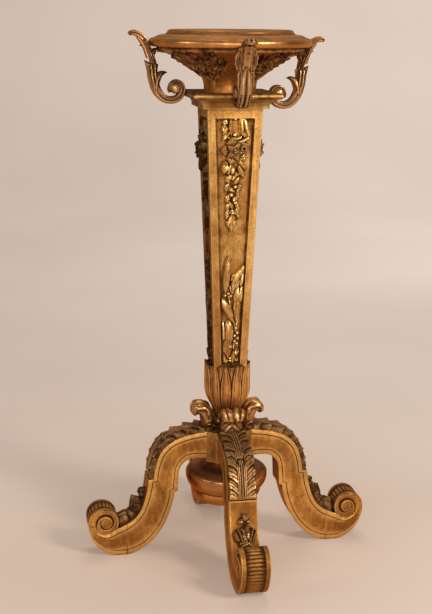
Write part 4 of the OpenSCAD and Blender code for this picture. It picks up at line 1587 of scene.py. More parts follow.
@dataclass
class Cup:
    """The leafed cup under the shaft and the collar under it."""

    foot_z: float = 317
    height: float = 113
    rim_r: float = 48
    foot_r: float = 24
    leaves: int = 12
    outside: float = 0.86
    shaft_half: float = 38
    collar_r: float = 27
    bead_r: float = 7.2
    hub_top: float = 281

    def calyx(self) -> None:
        """Carves the cup with its tall pointed leaves and the tips between them."""

        def place(u: Array, v: Array) -> Array:
            """Places the outside up to the rim, then the top back in.

            Args:
                u: Shares of the way round.
                v: Shares of the way along.

            Returns:
                One row of x, y and z a point.
            """
            t = clamped(v / self.outside)
            angle = 2 * math.pi * u
            k = saw(u * self.leaves) * 2 - 1
            body = self.foot_r + (self.rim_r - self.foot_r) * np.sin(math.pi / 2 * np.minimum(1, t / 0.52))
            wide = np.clip(np.cos(math.pi / 2 * clamped((t - 0.46) / 0.56)), 0.02, 1) ** 0.6
            s = np.abs(k) / wide
            leaf = 0.2 + 3.0 * clamped(1 - s) ** 0.8 + 0.9 * ditch(s - 0.78, 0.1) - 0.7 * ditch(s - 0.5, 0.16)
            fold = (1 - np.abs(k)) / (1 - wide * 0.86 + 0.02)
            behind = -0.9 + 1.8 * clamped(1 - fold * 1.4)
            r = body + np.where(s < 1, leaf, behind) - 2.6 * ditch(s - 1, 0.09 + 0.05 * t) * (t < 0.985)
            notch = clamped(4 * np.abs(np.abs(k) - 0.55))
            square = self.shaft_half / np.maximum(np.abs(np.cos(angle)), np.abs(np.sin(angle)))
            clear = clamped((self.rim_r - 1 - square) / 4)
            uneven = 1.2 * np.sin(5 * angle) + 1.0 * np.sin(17 * angle + 1)
            tip = np.where(s < 1, 2.5 + (2.4 + 0.8 * uneven) * clear, 1.0 + 1.0 * clear - 1.4 * notch)
            z = self.foot_z + self.height * t + np.where(t > 0.93, tip * (t - 0.93) / 0.07, 0)
            back = clamped((v - self.outside) / (1 - self.outside))
            r = np.where(back > 0, np.interp(back, [0, 0.3, 0.6, 1], [1, 0.93, 0.86, 0.3]) * r, r)
            z = z - np.interp(back, [0, 0.3, 0.6, 1], [0, 1.0, 6.0, 6.5])
            r = np.where(v < 0.001, self.foot_r - 6, np.minimum(r, self.rim_r + 3))
            return np.column_stack([r * np.sin(angle), -r * np.cos(angle), z])

        form = Form()
        form.sheet(self.leaves * 30, 100, place)
        form.finish("carved_calyx_cup", Slot.gilt_calyx, "calyx_cup", dirt_and_shade=self.rim_tips_and_ledge_shade)

    def rim_tips_and_ledge_shade(self, co: Array) -> Array:
        """Darker tips of the leaves, and painted shade on the ledge behind them.

        Args:
            co: Points of the piece.

        Returns:
            The added dirt at each point.
        """
        over = co[:, 2] - self.foot_z - self.height
        # Painted shade on the ledge between the rim and the shaft's foot.
        ledge = clamped((self.rim_r - np.hypot(co[:, 0], co[:, 1])) / 2) * (over > -9)
        return np.maximum(clamped((over + 2.5) / 3), ledge) * 1.05 + 0.12 * ripple(co, 30)

    def collar(self) -> None:
        """Turns the collar with the bead round its waist."""
        r, low, mid = self.collar_r, self.hub_top, self.hub_top + 18
        bead = rounded((r, mid), self.bead_r, range(-80, 81, 10))
        form = Form()
        form.lathe([(0, low), (r, low), (r, mid - 8), *bead, (r, mid + 8), (r, low + 36), (0, low + 36)], 72)
        form.finish("turned_neck_collar", Slot.gilt_dark, "neck_collar")


@dataclass
class Pendant:
    """The hub that the legs are joined to, and the turned pendant under it."""

    hub_z: float = 210
    hub_h: float = 71
    hub_w: float = 102
    leg_t: float = 61
    disc_z: float = 140
    disc_h: float = 49
    disc_r: float = 92
    ring_r: float = 78
    knob_z: float = 113
    knob_r: float = 78

    def hub(self) -> None:
        """Makes the hub with its worn edges."""
        half, face = self.leg_t / 2, self.hub_w / 2
        patch = bmesh.new()
        corners = [(face, -half), (face, half), (half, face), (-half, face)]
        corners += [(-face, half), (-face, -half), (-half, -face), (half, -face)]
        floor = patch.faces.new([patch.verts.new((x, y, self.hub_z)) for x, y in corners])
        wall = bmesh.ops.extrude_face_region(patch, geom=[floor], use_keep_orig=True)["geom"]
        top = [v for v in wall if isinstance(v, bmesh.types.BMVert)]
        bmesh.ops.translate(patch, verts=top, vec=(0, 0, self.hub_h))
        edges = patch.edges[:]
        bmesh.ops.bevel(patch, geom=edges, offset=1.2, segments=2, profile=0.5, affect="EDGES", material=-1)
        bmesh.ops.subdivide_edges(patch, edges=patch.edges[:], cuts=3, use_grid_fill=True)
        form = Form()
        form.add(patch)
        # Painted shade darkens the whole hub between the legs.
        form.finish("moulded_hub_block", Slot.gilt_leg, "hub_block", dirt_and_shade=even_shade(0.4))

    def flare(self) -> None:
        """Turns the hollow flare under the hub."""
        low = self.disc_z + self.disc_h
        hollow = scooped((40, self.hub_z), (24, -21), range(88, -1, -8))
        form = Form()
        form.lathe([(0, low), (63.5, low), *hollow, (0, self.hub_z)], 96)
        form.finish("turned_pendant_flare", Slot.gilt_copper, "pendant_flare")

    def disc(self) -> None:
        """Turns the disc with the ring cut round its top."""
        top, r, h = self.disc_z + self.disc_h, self.disc_r, self.disc_h
        side = Line(
            [(r * 0.84, self.disc_z), (r * 0.93, top - h * 0.8), (r * 0.985, top - h * 0.58)]
            + [(r, top - h * 0.36), (r * 0.99, top - h * 0.22), (r * 0.95, top - h * 0.13)]
            + [(r * 0.9, top - 3.6)]
        )
        ring = [(self.ring_r + 1.4, top - 2.0), (self.ring_r, top - 1.4), (self.ring_r - 1.5, top - 0.9)]
        form = Form()
        outline = [(0, self.disc_z), *side.every(3), *ring]
        form.lathe([*outline, (self.ring_r - 8, top), (0, top)], 120)
        form.finish("turned_pendant_disc", Slot.gilt_copper, "pendant_disc")

    def knob(self) -> None:
        """Turns the knob that closes the pendant."""
        r, top, h = self.knob_r, self.disc_z, self.disc_z - self.knob_z
        side = Line([(r * 0.8, self.knob_z), (r * 0.93, top - h * 0.62), (r * 0.99, top - h * 0.3), (r, top)])
        form = Form()
        form.lathe([(0, self.knob_z), *side.every(3), (0, top)], 96)
        form.finish("turned_pendant_knob", Slot.gilt_copper, "pendant_knob")


@dataclass
class LegLines:
    """The edges of a leg seen from the side, from the hub out to the toe."""

    hub_face: float = 51
    run: float = 194
    rise: float = 281
    wear: float = 0.6
    joint_x: float = 231
    knee_top: Outline = ((0, 100), (21, 98), (41, 93), (54, 84), (60.5, 71), (62, 62.6))
    shin_top: Outline = ((67.5, 62.3), (70, 50.5), (76, 37.7), (85.6, 29), (100, 23.5))
    knee_under: Outline = (
        (0, 77.6), (11, 78.3), (21, 77.4), (28.5, 73.5), (32, 68.5), (33, 61), (33.5, 51.6)
    )
    shin_under: Outline = (
        (37.6, 50.5), (38.7, 44), (44, 32.4), (51.5, 21.4), (62.5, 11.5), (74.7, 4.7), (88, 1), (100, 0)
    )

    def real(self, percent: Outline) -> Line:
        """A smooth line in millimetres from points in percent of the leg's run and rise."""
        points = [(self.hub_face + u / 100 * self.run, v / 100 * self.rise - self.wear) for u, v in percent]
        return Line(points)

    def cut_at(self, line: Line, x: float) -> float:
        """Share of a line's length at which it passes a distance out."""
        return float(np.interp(x, line.points[:, 0], line.reach)) / line.length


def rail(
    form: Form,
    upper: Array,
    lower: Array,
    half: Array,
    quarters: float,
    reeds: Array | None = None,
    cut: Array | None = None,
    dip: Move | None = None,
) -> None:
    """Sweeps a bar between two edges, with worn corners and a line cut along each edge of its sides.

    Args:
        form: The form that takes the bar.
        upper: One edge, a point of distance out and height for each station.
        lower: The other edge.
        half: Half of the bar's width at each station.
        quarters: Quarter turns from the front.
        reeds: Depth of the reeding cut across the lower face at each station.
        cut: How much of the cut lines' depth each station has.
        dip: Gives how far the sides are sunk at each point of distance out and height.
    """
    corner = [(0, 0, 1.2), (0, 0.35, 0.4), (0, 1.2, 0)]
    down = [*corner, (0, 10, 0), (0, 10.6, 1.0), (0, 11.5, 1.7), (0, 12.4, 1.0), (0, 13, 0)]
    middle = [(k / 16, 0, 0) for k in range(5, 12)]
    up = [(1 - f, -e, d) for f, e, d in reversed(down)]
    side = [(f, e, 1, d) for f, e, d in [*down, *middle, *up]]
    under = [(1, 0, s, 0) for s in (0.9, 0.72, 0.69, 0.65, 0.3, 0, -0.3, -0.65, -0.69, -0.72, -0.9)]
    over = [(0, 0, s, 0) for s in (-0.9, -0.5, 0, 0.5, 0.9)]
    ring = np.array([*side, *under, *[(f, e, -s, d) for f, e, s, d in reversed(side)], *over, side[0]], float)
    span = lower - upper
    size = np.linalg.norm(span, axis=1)
    way = span / size[:, None]

    def place(u: Array, v: Array) -> Array:
        """Places the points of each station's section.

        Args:
            u: Shares of the way round.
            v: Shares of the way along.

        Returns:
            One row of x, y and z a point.
        """
        k = np.round(v * (len(upper) - 1)).astype(int)
        f, e, s, d = ring[np.round(u * (len(ring) - 1)).astype(int)].T
        room = np.minimum(1, size[k] / 42)
        along = f * size[k] + e * room
        if reeds is not None:
            along = along - np.where((f == 1) & (np.abs(s) < 0.67) & (d == 0) & (e == 0), reeds[k], 0)
        spot = upper[k] + way[k] * along[:, None]
        cutting = np.where(d > 0.5, 0.85 + 0.35 * ripple(np.column_stack([0 * s, spot]), 24), 1)
        deep = d * cutting * (cut[k] if cut is not None else 1)
        if dip is not None:
            deep = deep + dip(spot) * (np.abs(s) == 1)
        across = s * half[k] - np.sign(s) * deep
        worn = ripple(np.column_stack([across, spot]), 9) * 0.22
        return turned(across + np.sign(s) * worn * (d == 0), spot[:, 0], spot[:, 1], quarters)

    form.sheet(len(ring) - 1, len(upper) - 1, place)


@dataclass
class Leg:
    """One S-shaped leg, its rolled toe and the carving on it."""

    side: Side
    lines: LegLines
    width: float = 61
    reach: float = 245
    roll_x: float = 283
    roll_z: float = 78.4
    roll_r: float = 33.5
    eye_h: float = 5
    coil_r: float = 28.4
    sunk: float = 3.6
    slit: float = 2.2
    reed: float = 9.2
    start: float = 206
    winding: tuple = (
        (0, 30, 64, 119, 154, 244, 334, 379, 424, 470, 540, 600, 640),
        (33.5, 27, 22.5, 20.5, 18.2, 14.5, 12.7, 11.3, 9.5, 6.5, 3.5, 1.5, 0.5),
    )

    def build(self) -> None:
        """Makes the leg between the hub and the glued toe joint."""
        n = self.lines
        knee_top, knee_under = n.real(n.knee_top), n.real(n.knee_under)
        shin_top, shin_under = n.real(n.shin_top), n.real(n.shin_under)
        a, b = np.linspace(0, 1, 60), np.linspace(0, 1, 64)
        top_end, under_end = n.cut_at(shin_top, n.joint_x), n.cut_at(shin_under, n.joint_x)
        upper = np.vstack([knee_top.at(a), shin_top.at(b * top_end)])
        lower = np.vstack([knee_under.at(a), shin_under.at(b * under_end)])
        lower[:, 1] = np.maximum(lower[:, 1], 0)
        form = Form()
        rail(form, upper, lower, np.full(len(upper), self.width / 2), self.side.value)
        name = self.side.name
        form.finish(f"carved_leg_{name}", Slot.gilt_leg, f"leg_{name}", dirt_and_shade=self.joint_dirt)

    def coil(self, angle: Array) -> Array:
        """Inner edge of the toe's ribbon at each turn, which winds in from the crevice."""
        r = np.interp(np.degrees(angle - math.radians(self.start)), *self.winding)
        return np.column_stack([self.roll_x + r * np.cos(angle), self.roll_z + r * np.sin(angle)])

    def toe_edges(self) -> tuple[Array, Array, int, int]:
        """Lays out the toe's ribbon: along the shin, round the roll and in to the eye.

        Returns:
            The ribbon's tread and sole, and the stations where the roll and the eye start.
        """
        n, start, full = self.lines, math.radians(self.start), 2 * math.pi
        shin_top, shin_under = n.real(n.shin_top), n.real(n.shin_under)
        a = np.linspace(0, 1, 12)
        sole_a = shin_under.at(n.cut_at(shin_under, n.joint_x) * (1 - a) + a)
        tread_a = shin_top.at(n.cut_at(shin_top, n.joint_x) * (1 - a) + a)
        b = np.linspace(0, math.pi / 2, 130)[1:]
        sweep = self.roll_x + self.roll_r - self.reach
        rise = self.roll_z * (1 - np.cos(b)) - n.wear * np.cos(b)
        sole_b = np.column_stack([self.reach + sweep * np.sin(b), rise])
        tread_b = self.coil(start + (full - start) * b / (math.pi / 2))
        c = np.linspace(full, start + full, 170)[1:]
        round_c = self.roll_r * np.column_stack([np.cos(c), np.sin(c)])
        sole_c = np.array([[self.roll_x, self.roll_z]]) + round_c
        d = np.linspace(start + full, start + math.radians(self.winding[0][-1]), 120)[1:]
        past = np.degrees(d - start) - 360
        slit = (np.interp(past, *self.winding) - np.interp(past, [0, 60], [self.slit, 0.02]))[:, None]
        sole_d = np.array([[self.roll_x, self.roll_z]]) + slit * np.column_stack([np.cos(d), np.sin(d)])
        sole = np.vstack([sole_a, sole_b, sole_c, sole_d])
        tread = np.vstack([tread_a, tread_b, self.coil(c), self.coil(d)])
        sole[:, 1] = np.maximum(sole[:, 1], 0)
        return tread, sole, len(sole_a), len(sole) - len(sole_d)

    def toe(self) -> None:
        """Makes the rolled toe as one ribbon that winds into the volute."""
        tread, sole, roll, last = self.toe_edges()
        station = np.arange(len(sole))
        run = np.concatenate([[0], np.cumsum(np.linalg.norm(np.diff(sole, axis=0), axis=1))])
        bar = np.abs(np.sin(math.pi * run / self.reed))
        reeds = np.where((run > 32) & (station < last), 3.4 * (1 - bar**0.45) + 0.4, 0)
        cut = clamped(1.5 - (station - roll) / 80)
        eye = np.array([self.roll_x - 4.5, self.roll_z + 1.5])

        def dip(spot: Array) -> Array:
            """Depth to which the sides are cleared for the coil."""
            return self.sunk / (1 + np.exp((np.hypot(*(spot - eye).T) - 27.6) / 0.15))

        form = Form()
        half = np.full(len(sole), self.width / 2)
        rail(form, tread, sole, half, self.side.value, reeds, cut, dip)
        for s in (-1, 1):

            def place(p: Array, s: int = s) -> Array:
                """Places the coil on one side of the roll."""
                across = s * (self.width / 2 - self.sunk + p[:, 2])
                return turned(across, eye[0] + p[:, 0], eye[1] + p[:, 1], self.side.value)

            form.relief((-29, -29, 29, 29), 0.85, self.volute, place)
        name = self.side.name
        form.finish(f"rolled_toe_{name}", Slot.gilt_leg, f"toe_{name}", dirt_and_shade=self.joint_dirt)

    def out_of(self, co: Array) -> Array:
        """Distance out from the axis of points of this leg."""
        return -turned(co[:, 0], -co[:, 1], co[:, 2], -self.side.value)[:, 1]

    def joint_dirt(self, co: Array) -> Array:
        """Dirt that has gathered in the joint between the leg and its toe."""
        patchy = np.clip(0.5 + 1.3 * ripple(co, 22), 0.1, 1)
        return 0.9 * ditch(self.out_of(co) - self.lines.joint_x, 0.9) * patchy

    def leaf_tone_and_head_light(self, co: Array) -> Array:
        """Darker flanks and upper band on the knee leaf, a little less on the front leg, with the head
        lightened as painted light.

        Args:
            co: Points of the piece.

        Returns:
            The added dirt at each point.
        """
        across = turned(co[:, 0], -co[:, 1], co[:, 2], -self.side.value)[:, 0]
        flank = clamped((np.abs(across) - self.width / 2 + 2.2) / 1.2) * (co[:, 2] < 297)
        upper = clamped((co[:, 2] - 222) / 25) * clamped((296 - co[:, 2]) / 8)
        base = 0.26 if self.side is Side.front else 0.34
        # The head is lightened as painted light; the flanks and the band above are darker.
        return base + 0.3 * upper + 0.9 * flank - 0.6 * clamped((co[:, 2] - 296) / 10)

    def volute(self, x: Array, z: Array) -> Array:
        """Height of the coil over the floor that is cleared for it, 3.6 being level with the side.

        Args:
            x: Places out from its eye.
            z: Places up from its eye.

        Returns:
            One height for each point, below 0 outside.
        """
        r = np.hypot(x, z)
        turn = np.degrees(np.arctan2(z, x))
        turn = np.where(turn < -45, turn + 360, turn)
        stations = [-45, -10, 30, 90, 180, 249, 283, 315, 345]
        reach = [25.5, 20.5, 17.8, 16.8, 16.6, 15.6, 14.2, 12.2, 10.0]
        edge = np.interp(turn, stations, reach)
        tail = np.interp(turn + 360, stations, reach)
        start = clamped((turn + 45) / 40)
        groove = ditch(r - edge, 1.7) * np.maximum(start, 0.25)
        groove = np.maximum(groove, ditch(r - tail, 1.2) * clamped(1 - (turn + 45) / 32))
        hollow = np.exp(-np.clip(r - edge, 0, 40) / 3.4) * (r > edge) * clamped((self.coil_r - r) / 3)
        inner = clamped((12.0 - r) / 2.5)
        proud = np.maximum(inner, clamped((edge - r) / 2.2) * clamped((turn + 45) / 130))
        h = 3.56 + self.eye_h * proud - 3.2 * groove - 1.3 * hollow
        return np.where(r < self.coil_r, np.maximum(h, 0.3), -1)

    def over(self, line: Line) -> Move:
        """Gives the place of points that lie along the top of the leg.

        Args:
            line: Edge that the points follow.

        Returns:
            A function of points: across, along the edge and out of it.
        """

        def place(p: Array) -> Array:
            """Lays points along the edge."""
            share = clamped(p[:, 1] / line.length)
            return turned(p[:, 0], *line.off(share, p[:, 2]).T, self.side.value)

        return place

    def knee_leaf(self) -> None:
        """Carves the leaf over the knee and the head that curls up beside the cup."""
        n = self.lines
        line = n.real([(2, 99.9), *n.knee_top[1:]])
        half, long = self.width / 2, line.length
        end = long - 4

        def carve(x: Array, y: Array) -> Array:
            """Height of the two tiers of the leaf over the knee.

            Args:
                x: Places across.
                y: Places along the knee.

            Returns:
                One height for each point, below 0 outside.
            """
            side = np.abs(x)
            middle = end * 0.5
            reach = side - 6
            wander = 1.6 * np.sin(0.11 * y + 0.2 * side + np.sign(x))
            band = (y + 1.2 * reach - 0.028 * reach**2 + wander) / 27
            step = saw(band)
            feather = clamped((side - 6.5) / 4)
            veins = ditch(step - 0.36, 0.06) + 0.7 * ditch(step - 0.66, 0.05)
            fan = np.abs(np.cos(math.pi * side / (4.6 + 0.018 * np.clip(middle - y, 0, 90))))
            first = 6.6 + 4.6 * step**1.3 * feather - 1.0 * veins * feather
            first = first + (1 - feather) * (1.4 + 1.8 * fan) + 4.2 * (step - 0.5) * clamped((side - 17) / 7)
            s = (side - 19) / 11.5
            arch = middle - 2 + 11 * (1 - hump(s))
            inward = np.minimum(y - arch, (1 - np.abs(s)) * 12)
            scale = saw((y + 1.15 * (side - 9) - 0.02 * (side - 9) ** 2 + wander) / 24)
            lobe = 7.4 + 3.6 * scale - 1.0 * ditch(scale - 0.4, 0.07) - 0.7 * ditch(scale - 0.7, 0.06)
            lobe = lobe + 3.4 * (scale - 0.5) * clamped((side - 19) / 6)
            lobe = np.where(inward < 2.6, 11.2 - 1.2 * np.abs(inward - 1.2), lobe)
            stalk = 7.4 + 3.2 * np.abs(np.cos(math.pi * x / 5.3))
            second = np.where(inward > 0, lobe, np.where(side < 9, stalk, 5.2))
            fade = np.clip((middle + 14 - y) / 10, 0.55, 1)
            h = np.where((y < middle + 12) & (inward < 0), first * fade, second)
            h = h - 7.0 * np.exp(-(((side - 6.4) / 1.7) ** 2) - ((y - middle - 15) / 5.5) ** 2)
            notch = clamped(1 - step / 0.2) * (y < middle) + clamped(1 - scale / 0.2) * (y >= middle)
            edge = half + 0.4 - 2.4 * notch
            inside = (side < edge) & (y > 0) & (y < end)
            return np.where(inside, np.maximum(h, 3.2) * hump(side / edge, 20), -1)

        form = Form()
        form.relief((-half - 0.5, -1, half + 0.5, long), 1.15, carve, self.over(line))
        # The narrow fillet that ends the leaf at the leg's step.
        form.relief((-half, long - 4.6, half, long - 0.2), 0.9, lambda x, y: 7.0 + 0 * x, self.over(line))
        self.head(form)
        name = self.side.name
        form.finish(f"carved_knee_leaf_{name}", Slot.gilt_dark, f"knee_leaf_{name}", dirt_and_shade=self.leaf_tone_and_head_light)

    def head(self, form: Form) -> None:
        """Adds the lobed head that rises from the hub and curls over.

        Args:
            form: The leaf's form.
        """
        line = Line(
            [(47, 270), (45.5, 292), (46.5, 309), (52, 322), (61, 327.5), (69, 325), (73, 318), (72.5, 311)]
        )

        def lobed(a: Array, v: Array) -> Array:
            """Section of the head: a hood that spreads over its stem and hangs to a blunt point.

            Args:
                a: Turns round the section.
                v: Shares of the way along it.

            Returns:
                Width and thickness, one pair in each row.
            """
            half = np.interp(v, [0, 0.22, 0.4, 0.6, 0.8, 0.92, 1.0], [30, 26, 26, 29, 28.5, 23, 10])
            thick = np.interp(v, [0, 0.2, 0.4, 0.6, 0.8, 0.92, 1.0], [15, 14.5, 14, 15.5, 13.5, 9, 1.5])
            y = blunt(np.sin(a), 0.62)
            x = blunt(np.cos(a), 0.5)
            curl = clamped(v * 3 - 0.9)
            lip = 0.05 + 0.22 * np.abs(np.sin(math.pi * v * 5.5))
            under = 1 / (1 + np.exp((y - lip) / 0.07))
            cleft = 0.44 * ditch(x - 0.05, 0.07) + 0.2 * ditch(x + 0.52, 0.09) + 0.2 * ditch(x - 0.56, 0.09)
            knuckle = 0.1 * np.sin(8 * x + 17 * v) + 0.07 * np.sin(13 * x - 11 * v + 1)
            chin = 0.12 * np.abs(np.sin(6 * np.abs(x) + 16 * v)) * (1 - curl)
            relief = 1 + (knuckle - cleft) * curl * (y > 0.2) - chin
            tuck = 1 - 0.2 * under * curl
            return np.column_stack([x * half * tuck, y * thick * relief])

        form.blade(line, lobed, self.side.value, (128, 90))
        for s in (-1, 1):
            self.ear(form, s)

    def ear(self, form: Form, s: int) -> None:
        """Adds the small lobe that turns out at each side of the head's root.

        Args:
            form: The leaf's form.
            s: Side of the leg, -1 or 1.
        """
        share = np.linspace(0, 1, 16)
        path = Line([(24, 285), (31, 293), (37, 299), (41, 300)]).at(share)

        def place(u: Array, v: Array) -> Array:
            """Places the points round the lobe's middle line.

            Args:
                u: Shares of the way round.
                v: Shares of the way along.

            Returns:
                One row of x, y and z a point.
            """
            a = 2 * math.pi * u
            across = np.interp(v, share, path[:, 0]) + 3.5 * np.sin(a) * (1 - v**3)
            up = np.interp(v, share, path[:, 1]) + 5.5 * np.sin(a) * (1 - v**2.5)
            out = 46 + 9.5 * np.cos(a) * (1 - v**2) ** 0.5
            return turned(s * across, out, up, self.side.value)

        form.sheet(24, 20, place)

    def shin_husk(self) -> None:
        """Carves the chain of husks in the hollow of the shin."""
        n = self.lines
        line = n.real(n.shin_top)
        joint = line.length

        def spot(z: float) -> float:
            """Distance along the shin at which it passes a height."""
            return float(np.interp(-z, -line.points[:, 1], line.reach))

        bud, pod, end = spot(140), spot(118), joint + 4
        motifs: list[Motif] = [
            Bud(0, pod + 20, 18, 23, 21, petals=5, angle=180),
            Bud(0, pod + 41, 16, 18, 19.5, petals=3),
            Bud(0, pod + 8, 11, 14, 20, petals=3, angle=180),
            Bud(1, bud + 1, 8, 9, 16, petals=3),
            Leaf(0, pod + 36, 180, 40, 13, 22, rise=0.3),
            Bud(0, pod + 60, 18, 18, 16, petals=5),
            Leaf(0, pod + 48, 0, 62, 15, 19.5, rise=0.0),
        ]
        for s in (-1, 1):
            motifs += [
                Bud(s * 8, bud + 9, 6.5, 7, 14, petals=2, angle=s * 20),
                Leaf(s * 8, pod + 34, 180 + s * 14, 34, 11, 20.5, rise=0.3),
                Leaf(s * 14, pod + 31, 180 + s * 18, 26, 10, 15.5, rise=0.2),
                Leaf(s * 8, pod + 49, s * 2, 62, 13, 17.5, rise=0.0),
                Leaf(s * 16, pod + 52, s * 3, 54, 11, 13, rise=0.0),
            ]

        def dirt_and_shade(co: Array) -> Array:
            """Dirt in patches, and painted shade on the husks of the legs other than the front one."""
            # Painted shade darkens the husks of the legs other than the front one.
            return (0.3 if self.side is Side.front else 1.1) + 0.5 * ripple(co, 25)

        form = Form()
        form.relief((-25, bud - 12, 25, end), 1.0, together(motifs), self.over(line))
        name = self.side.name
        form.finish(f"carved_shin_husk_{name}", Slot.gilt_dark, f"shin_husk_{name}", dirt_and_shade=dirt_and_shade)


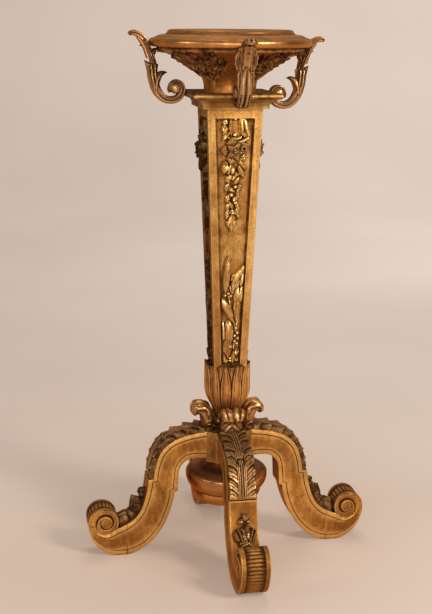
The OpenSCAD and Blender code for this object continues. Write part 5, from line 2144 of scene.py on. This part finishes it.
@dataclass
class Studio:
    """The camera, the lamps and the pale backdrop."""

    azimuth: float = -11.7087
    distance: float = 2.585
    height: float = 1.18
    yaw: float = -0.5736
    pitch: float = -13.5872
    roll: float = 0.43
    lens: float = 70.96
    aim_z: float = 0.62

    def camera(self) -> None:
        """Stands the camera where the object was seen from."""
        a = math.radians(self.azimuth)
        x, y = self.distance * math.sin(a), -self.distance * math.cos(a)
        heading = math.atan2(-x, -y) + math.radians(self.yaw)
        data = bpy.data.cameras.new("camera")
        data.lens = self.lens
        data.sensor_width = 36
        data.clip_end = 50
        camera = bpy.data.objects.new("camera", data)
        turn = Matrix.Rotation(-heading, 4, "Z") @ Matrix.Rotation(math.radians(90 + self.pitch), 4, "X")
        turn = turn @ Matrix.Rotation(math.radians(self.roll), 4, "Z")
        camera.matrix_world = Matrix.Translation((x, y, self.height)) @ turn
        bpy.context.scene.collection.objects.link(camera)
        bpy.context.scene.camera = camera

    def lamp(self, name: str, spot: tuple, size: tuple, power: float, tint: tuple = (1, 1, 1)) -> None:
        """Hangs one soft box that faces the middle of the stand.

        Args:
            name: Name of the lamp.
            spot: Where it hangs, in metres.
            size: Its width and height.
            power: Its power in watts.
            tint: Its colour.
        """
        data = bpy.data.lights.new(name, "AREA")
        data.shape = "RECTANGLE"
        data.size, data.size_y = size
        data.energy = power
        data.color = tint
        lamp = bpy.data.objects.new(name, data)
        aim = Vector((0, 0, self.aim_z)) - Vector(spot)
        lamp.matrix_world = Matrix.Translation(spot) @ aim.to_track_quat("-Z", "Y").to_matrix().to_4x4()
        bpy.context.scene.collection.objects.link(lamp)

    def backdrop(self) -> None:
        """Hangs the plain paper that is the floor and the wall in one sweep."""
        patch = bmesh.new()
        bmesh.ops.create_grid(patch, x_segments=2, y_segments=40, size=0.5)
        bend, back, front, wide, high = 1.2, 4.7, -11.0, 24.0, 5.0
        for v in patch.verts:
            t = (v.co.y + 0.5) * 40
            if t <= 10:
                y, z = front + (back - front) * t / 10, 0.0
            elif t <= 30:
                a = math.radians(90 * (t - 10) / 20)
                y, z = back + bend * math.sin(a), bend * (1 - math.cos(a))
            else:
                y, z = back + bend, bend + high * (t - 30) / 10
            v.co = (v.co.x * wide, y, z)
        mesh = bpy.data.meshes.new("paper")
        patch.to_mesh(mesh)
        patch.free()
        mesh.polygons.foreach_set("use_smooth", [True] * len(mesh.polygons))
        mesh.materials.append(self.paper())
        sheet = bpy.data.objects.new("backdrop_paper", mesh)
        bpy.context.scene.collection.objects.link(sheet)

    def paper(self) -> bpy.types.Material:
        """Lays out the paper's painted light: brighter to the right and on the wall, a warm painted shadow
        round the stand, and a glow that camera, glossy and transmission rays see.

        Returns:
            The material.
        """
        r = Recipe("paper")
        across, back_y, _ = r.node("ShaderNodeSeparateXYZ", {0: r.spot}).outputs
        far = r.span(back_y, 0.5, 2.7)
        # Painted light: brighter on the wall and to the right, darker far up the wall.
        painted_light_lift = r.sum_of(far, r.span(across, -0.3, 1.7, 0.0, 0.33), "MULTIPLY")
        painted_light_lift = r.sum_of(painted_light_lift, r.span(back_y, 3.2, 5.6, 0.0, 0.16), "SUBTRACT")
        patches = r.span(r.noise(0.8, 2, 0.5), 0.3, 0.7, -0.08, 0.08)
        # Random patches over painted light that brightens to the right.
        patches_and_painted_light = r.sum_of(r.span(across, -1.8, 1.8, 0.17, 0.54), patches)
        tone = r.blend(r.sum_of(patches_and_painted_light, painted_light_lift), colour(206, 185, 170), colour(252, 235, 221))
        off = r.node("ShaderNodeVectorMath", {0: r.spot}, operation="LENGTH").outputs[1]
        # A warm painted shadow and bounce round the stand.
        tone = r.blend(r.span(off, 0.1, 0.9, 0.4, 0.0), tone, colour(204, 172, 144))
        r.shader.inputs["Roughness"].default_value = 0.9
        r.connect(Base_Color=tone)
        # The paper glows for camera, glossy and transmission rays, as painted light.
        painted_glow = r.node("ShaderNodeEmission", {"Color": tone, "Strength": 1.0}).outputs[0]
        rays = r.node("ShaderNodeLightPath").outputs
        seen = r.sum_of(rays["Is Camera Ray"], rays["Is Glossy Ray"])
        seen = r.sum_of(seen, rays["Is Transmission Ray"])
        share = r.sum_of(seen, r.span(far, 0.0, 1.0, 0.35, 0.75), "MULTIPLY")
        out = r.tree.nodes["Material Output"].inputs[0]
        mixed = r.node("ShaderNodeMixShader", {0: share, 1: r.shader.outputs[0], 2: painted_glow}).outputs[0]
        r.tree.links.new(mixed, out)
        return r.material

    def build(self) -> None:
        """Sets up the whole studio."""
        scene = bpy.context.scene
        scene.view_settings.view_transform = "Standard"
        self.camera()
        self.backdrop()
        self.lamp("key_box", (2.0, -2.7, 2.5), (0.9, 1.2), 104, (1.0, 0.96, 0.9))
        self.lamp("front_box", (-1.1, -3.5, 1.6), (2.6, 1.6), 44, (1.0, 0.96, 0.91))
        self.lamp("fill_box", (-2.9, -1.2, 1.3), (1.0, 1.8), 4, (1.0, 0.92, 0.84))
        self.lamp("low_box", (-0.1, -4.0, 0.45), (1.8, 0.9), 20, (1.0, 0.96, 0.9))
        self.lamp("top_box", (0.2, 0.8, 3.2), (1.6, 1.6), 36, (1.0, 0.97, 0.93))
        self.lamp("rim_box", (-2.4, -0.7, 1.9), (0.35, 0.7), 9, (1.0, 0.94, 0.86))
        world = bpy.data.worlds.new("studio")
        world.use_nodes = True
        world.node_tree.nodes["Background"].inputs[0].default_value = colour(226, 210, 196)
        world.node_tree.nodes["Background"].inputs[1].default_value = 0.15
        scene.world = world


def dress_hidden(frame: dict) -> None:
    """Gives the dowels and glue blocks inside the stand their bare wood.

    Args:
        frame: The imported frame.
    """
    names = ("capital_dowel", "shaft_top_block", "shaft_foot_block", "tie_dowel", "leg_dowels", "toe_dowels")
    for name in names:
        node = frame["nodes"][name]
        if not node.material_slots:
            node.data.materials.append(Slot.bare_wood.material())
        for slot in node.material_slots:
            slot.material = Slot.bare_wood.material()
        LOG.info("%s: bare wood", name)


def main() -> None:
    """Builds the studio and every piece."""
    logging.basicConfig(level=logging.INFO, format="%(message)s")
    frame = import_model()
    Studio().build()
    dress_hidden(frame)
    top = Top()
    top.board()
    top.fillet()
    top.bell()
    for corner in Diagonal:
        top.spray(corner)
    abacus = Abacus()
    abacus.plate()
    abacus.cove()
    cup = Cup()
    cup.calyx()
    cup.collar()
    pendant = Pendant()
    pendant.hub()
    pendant.flare()
    pendant.disc()
    pendant.knob()
    lines = LegLines()
    for side in Side:
        Bracket(side).build()
        face = Face(side)
        ShaftBoard(face).build()
        FlowerDrop(face).build()
        LeafSpray(face).build()
        leg = Leg(side, lines)
        leg.build()
        leg.toe()
        leg.knee_leaf()
        leg.shin_husk()


if __name__ == "__main__":
    main()
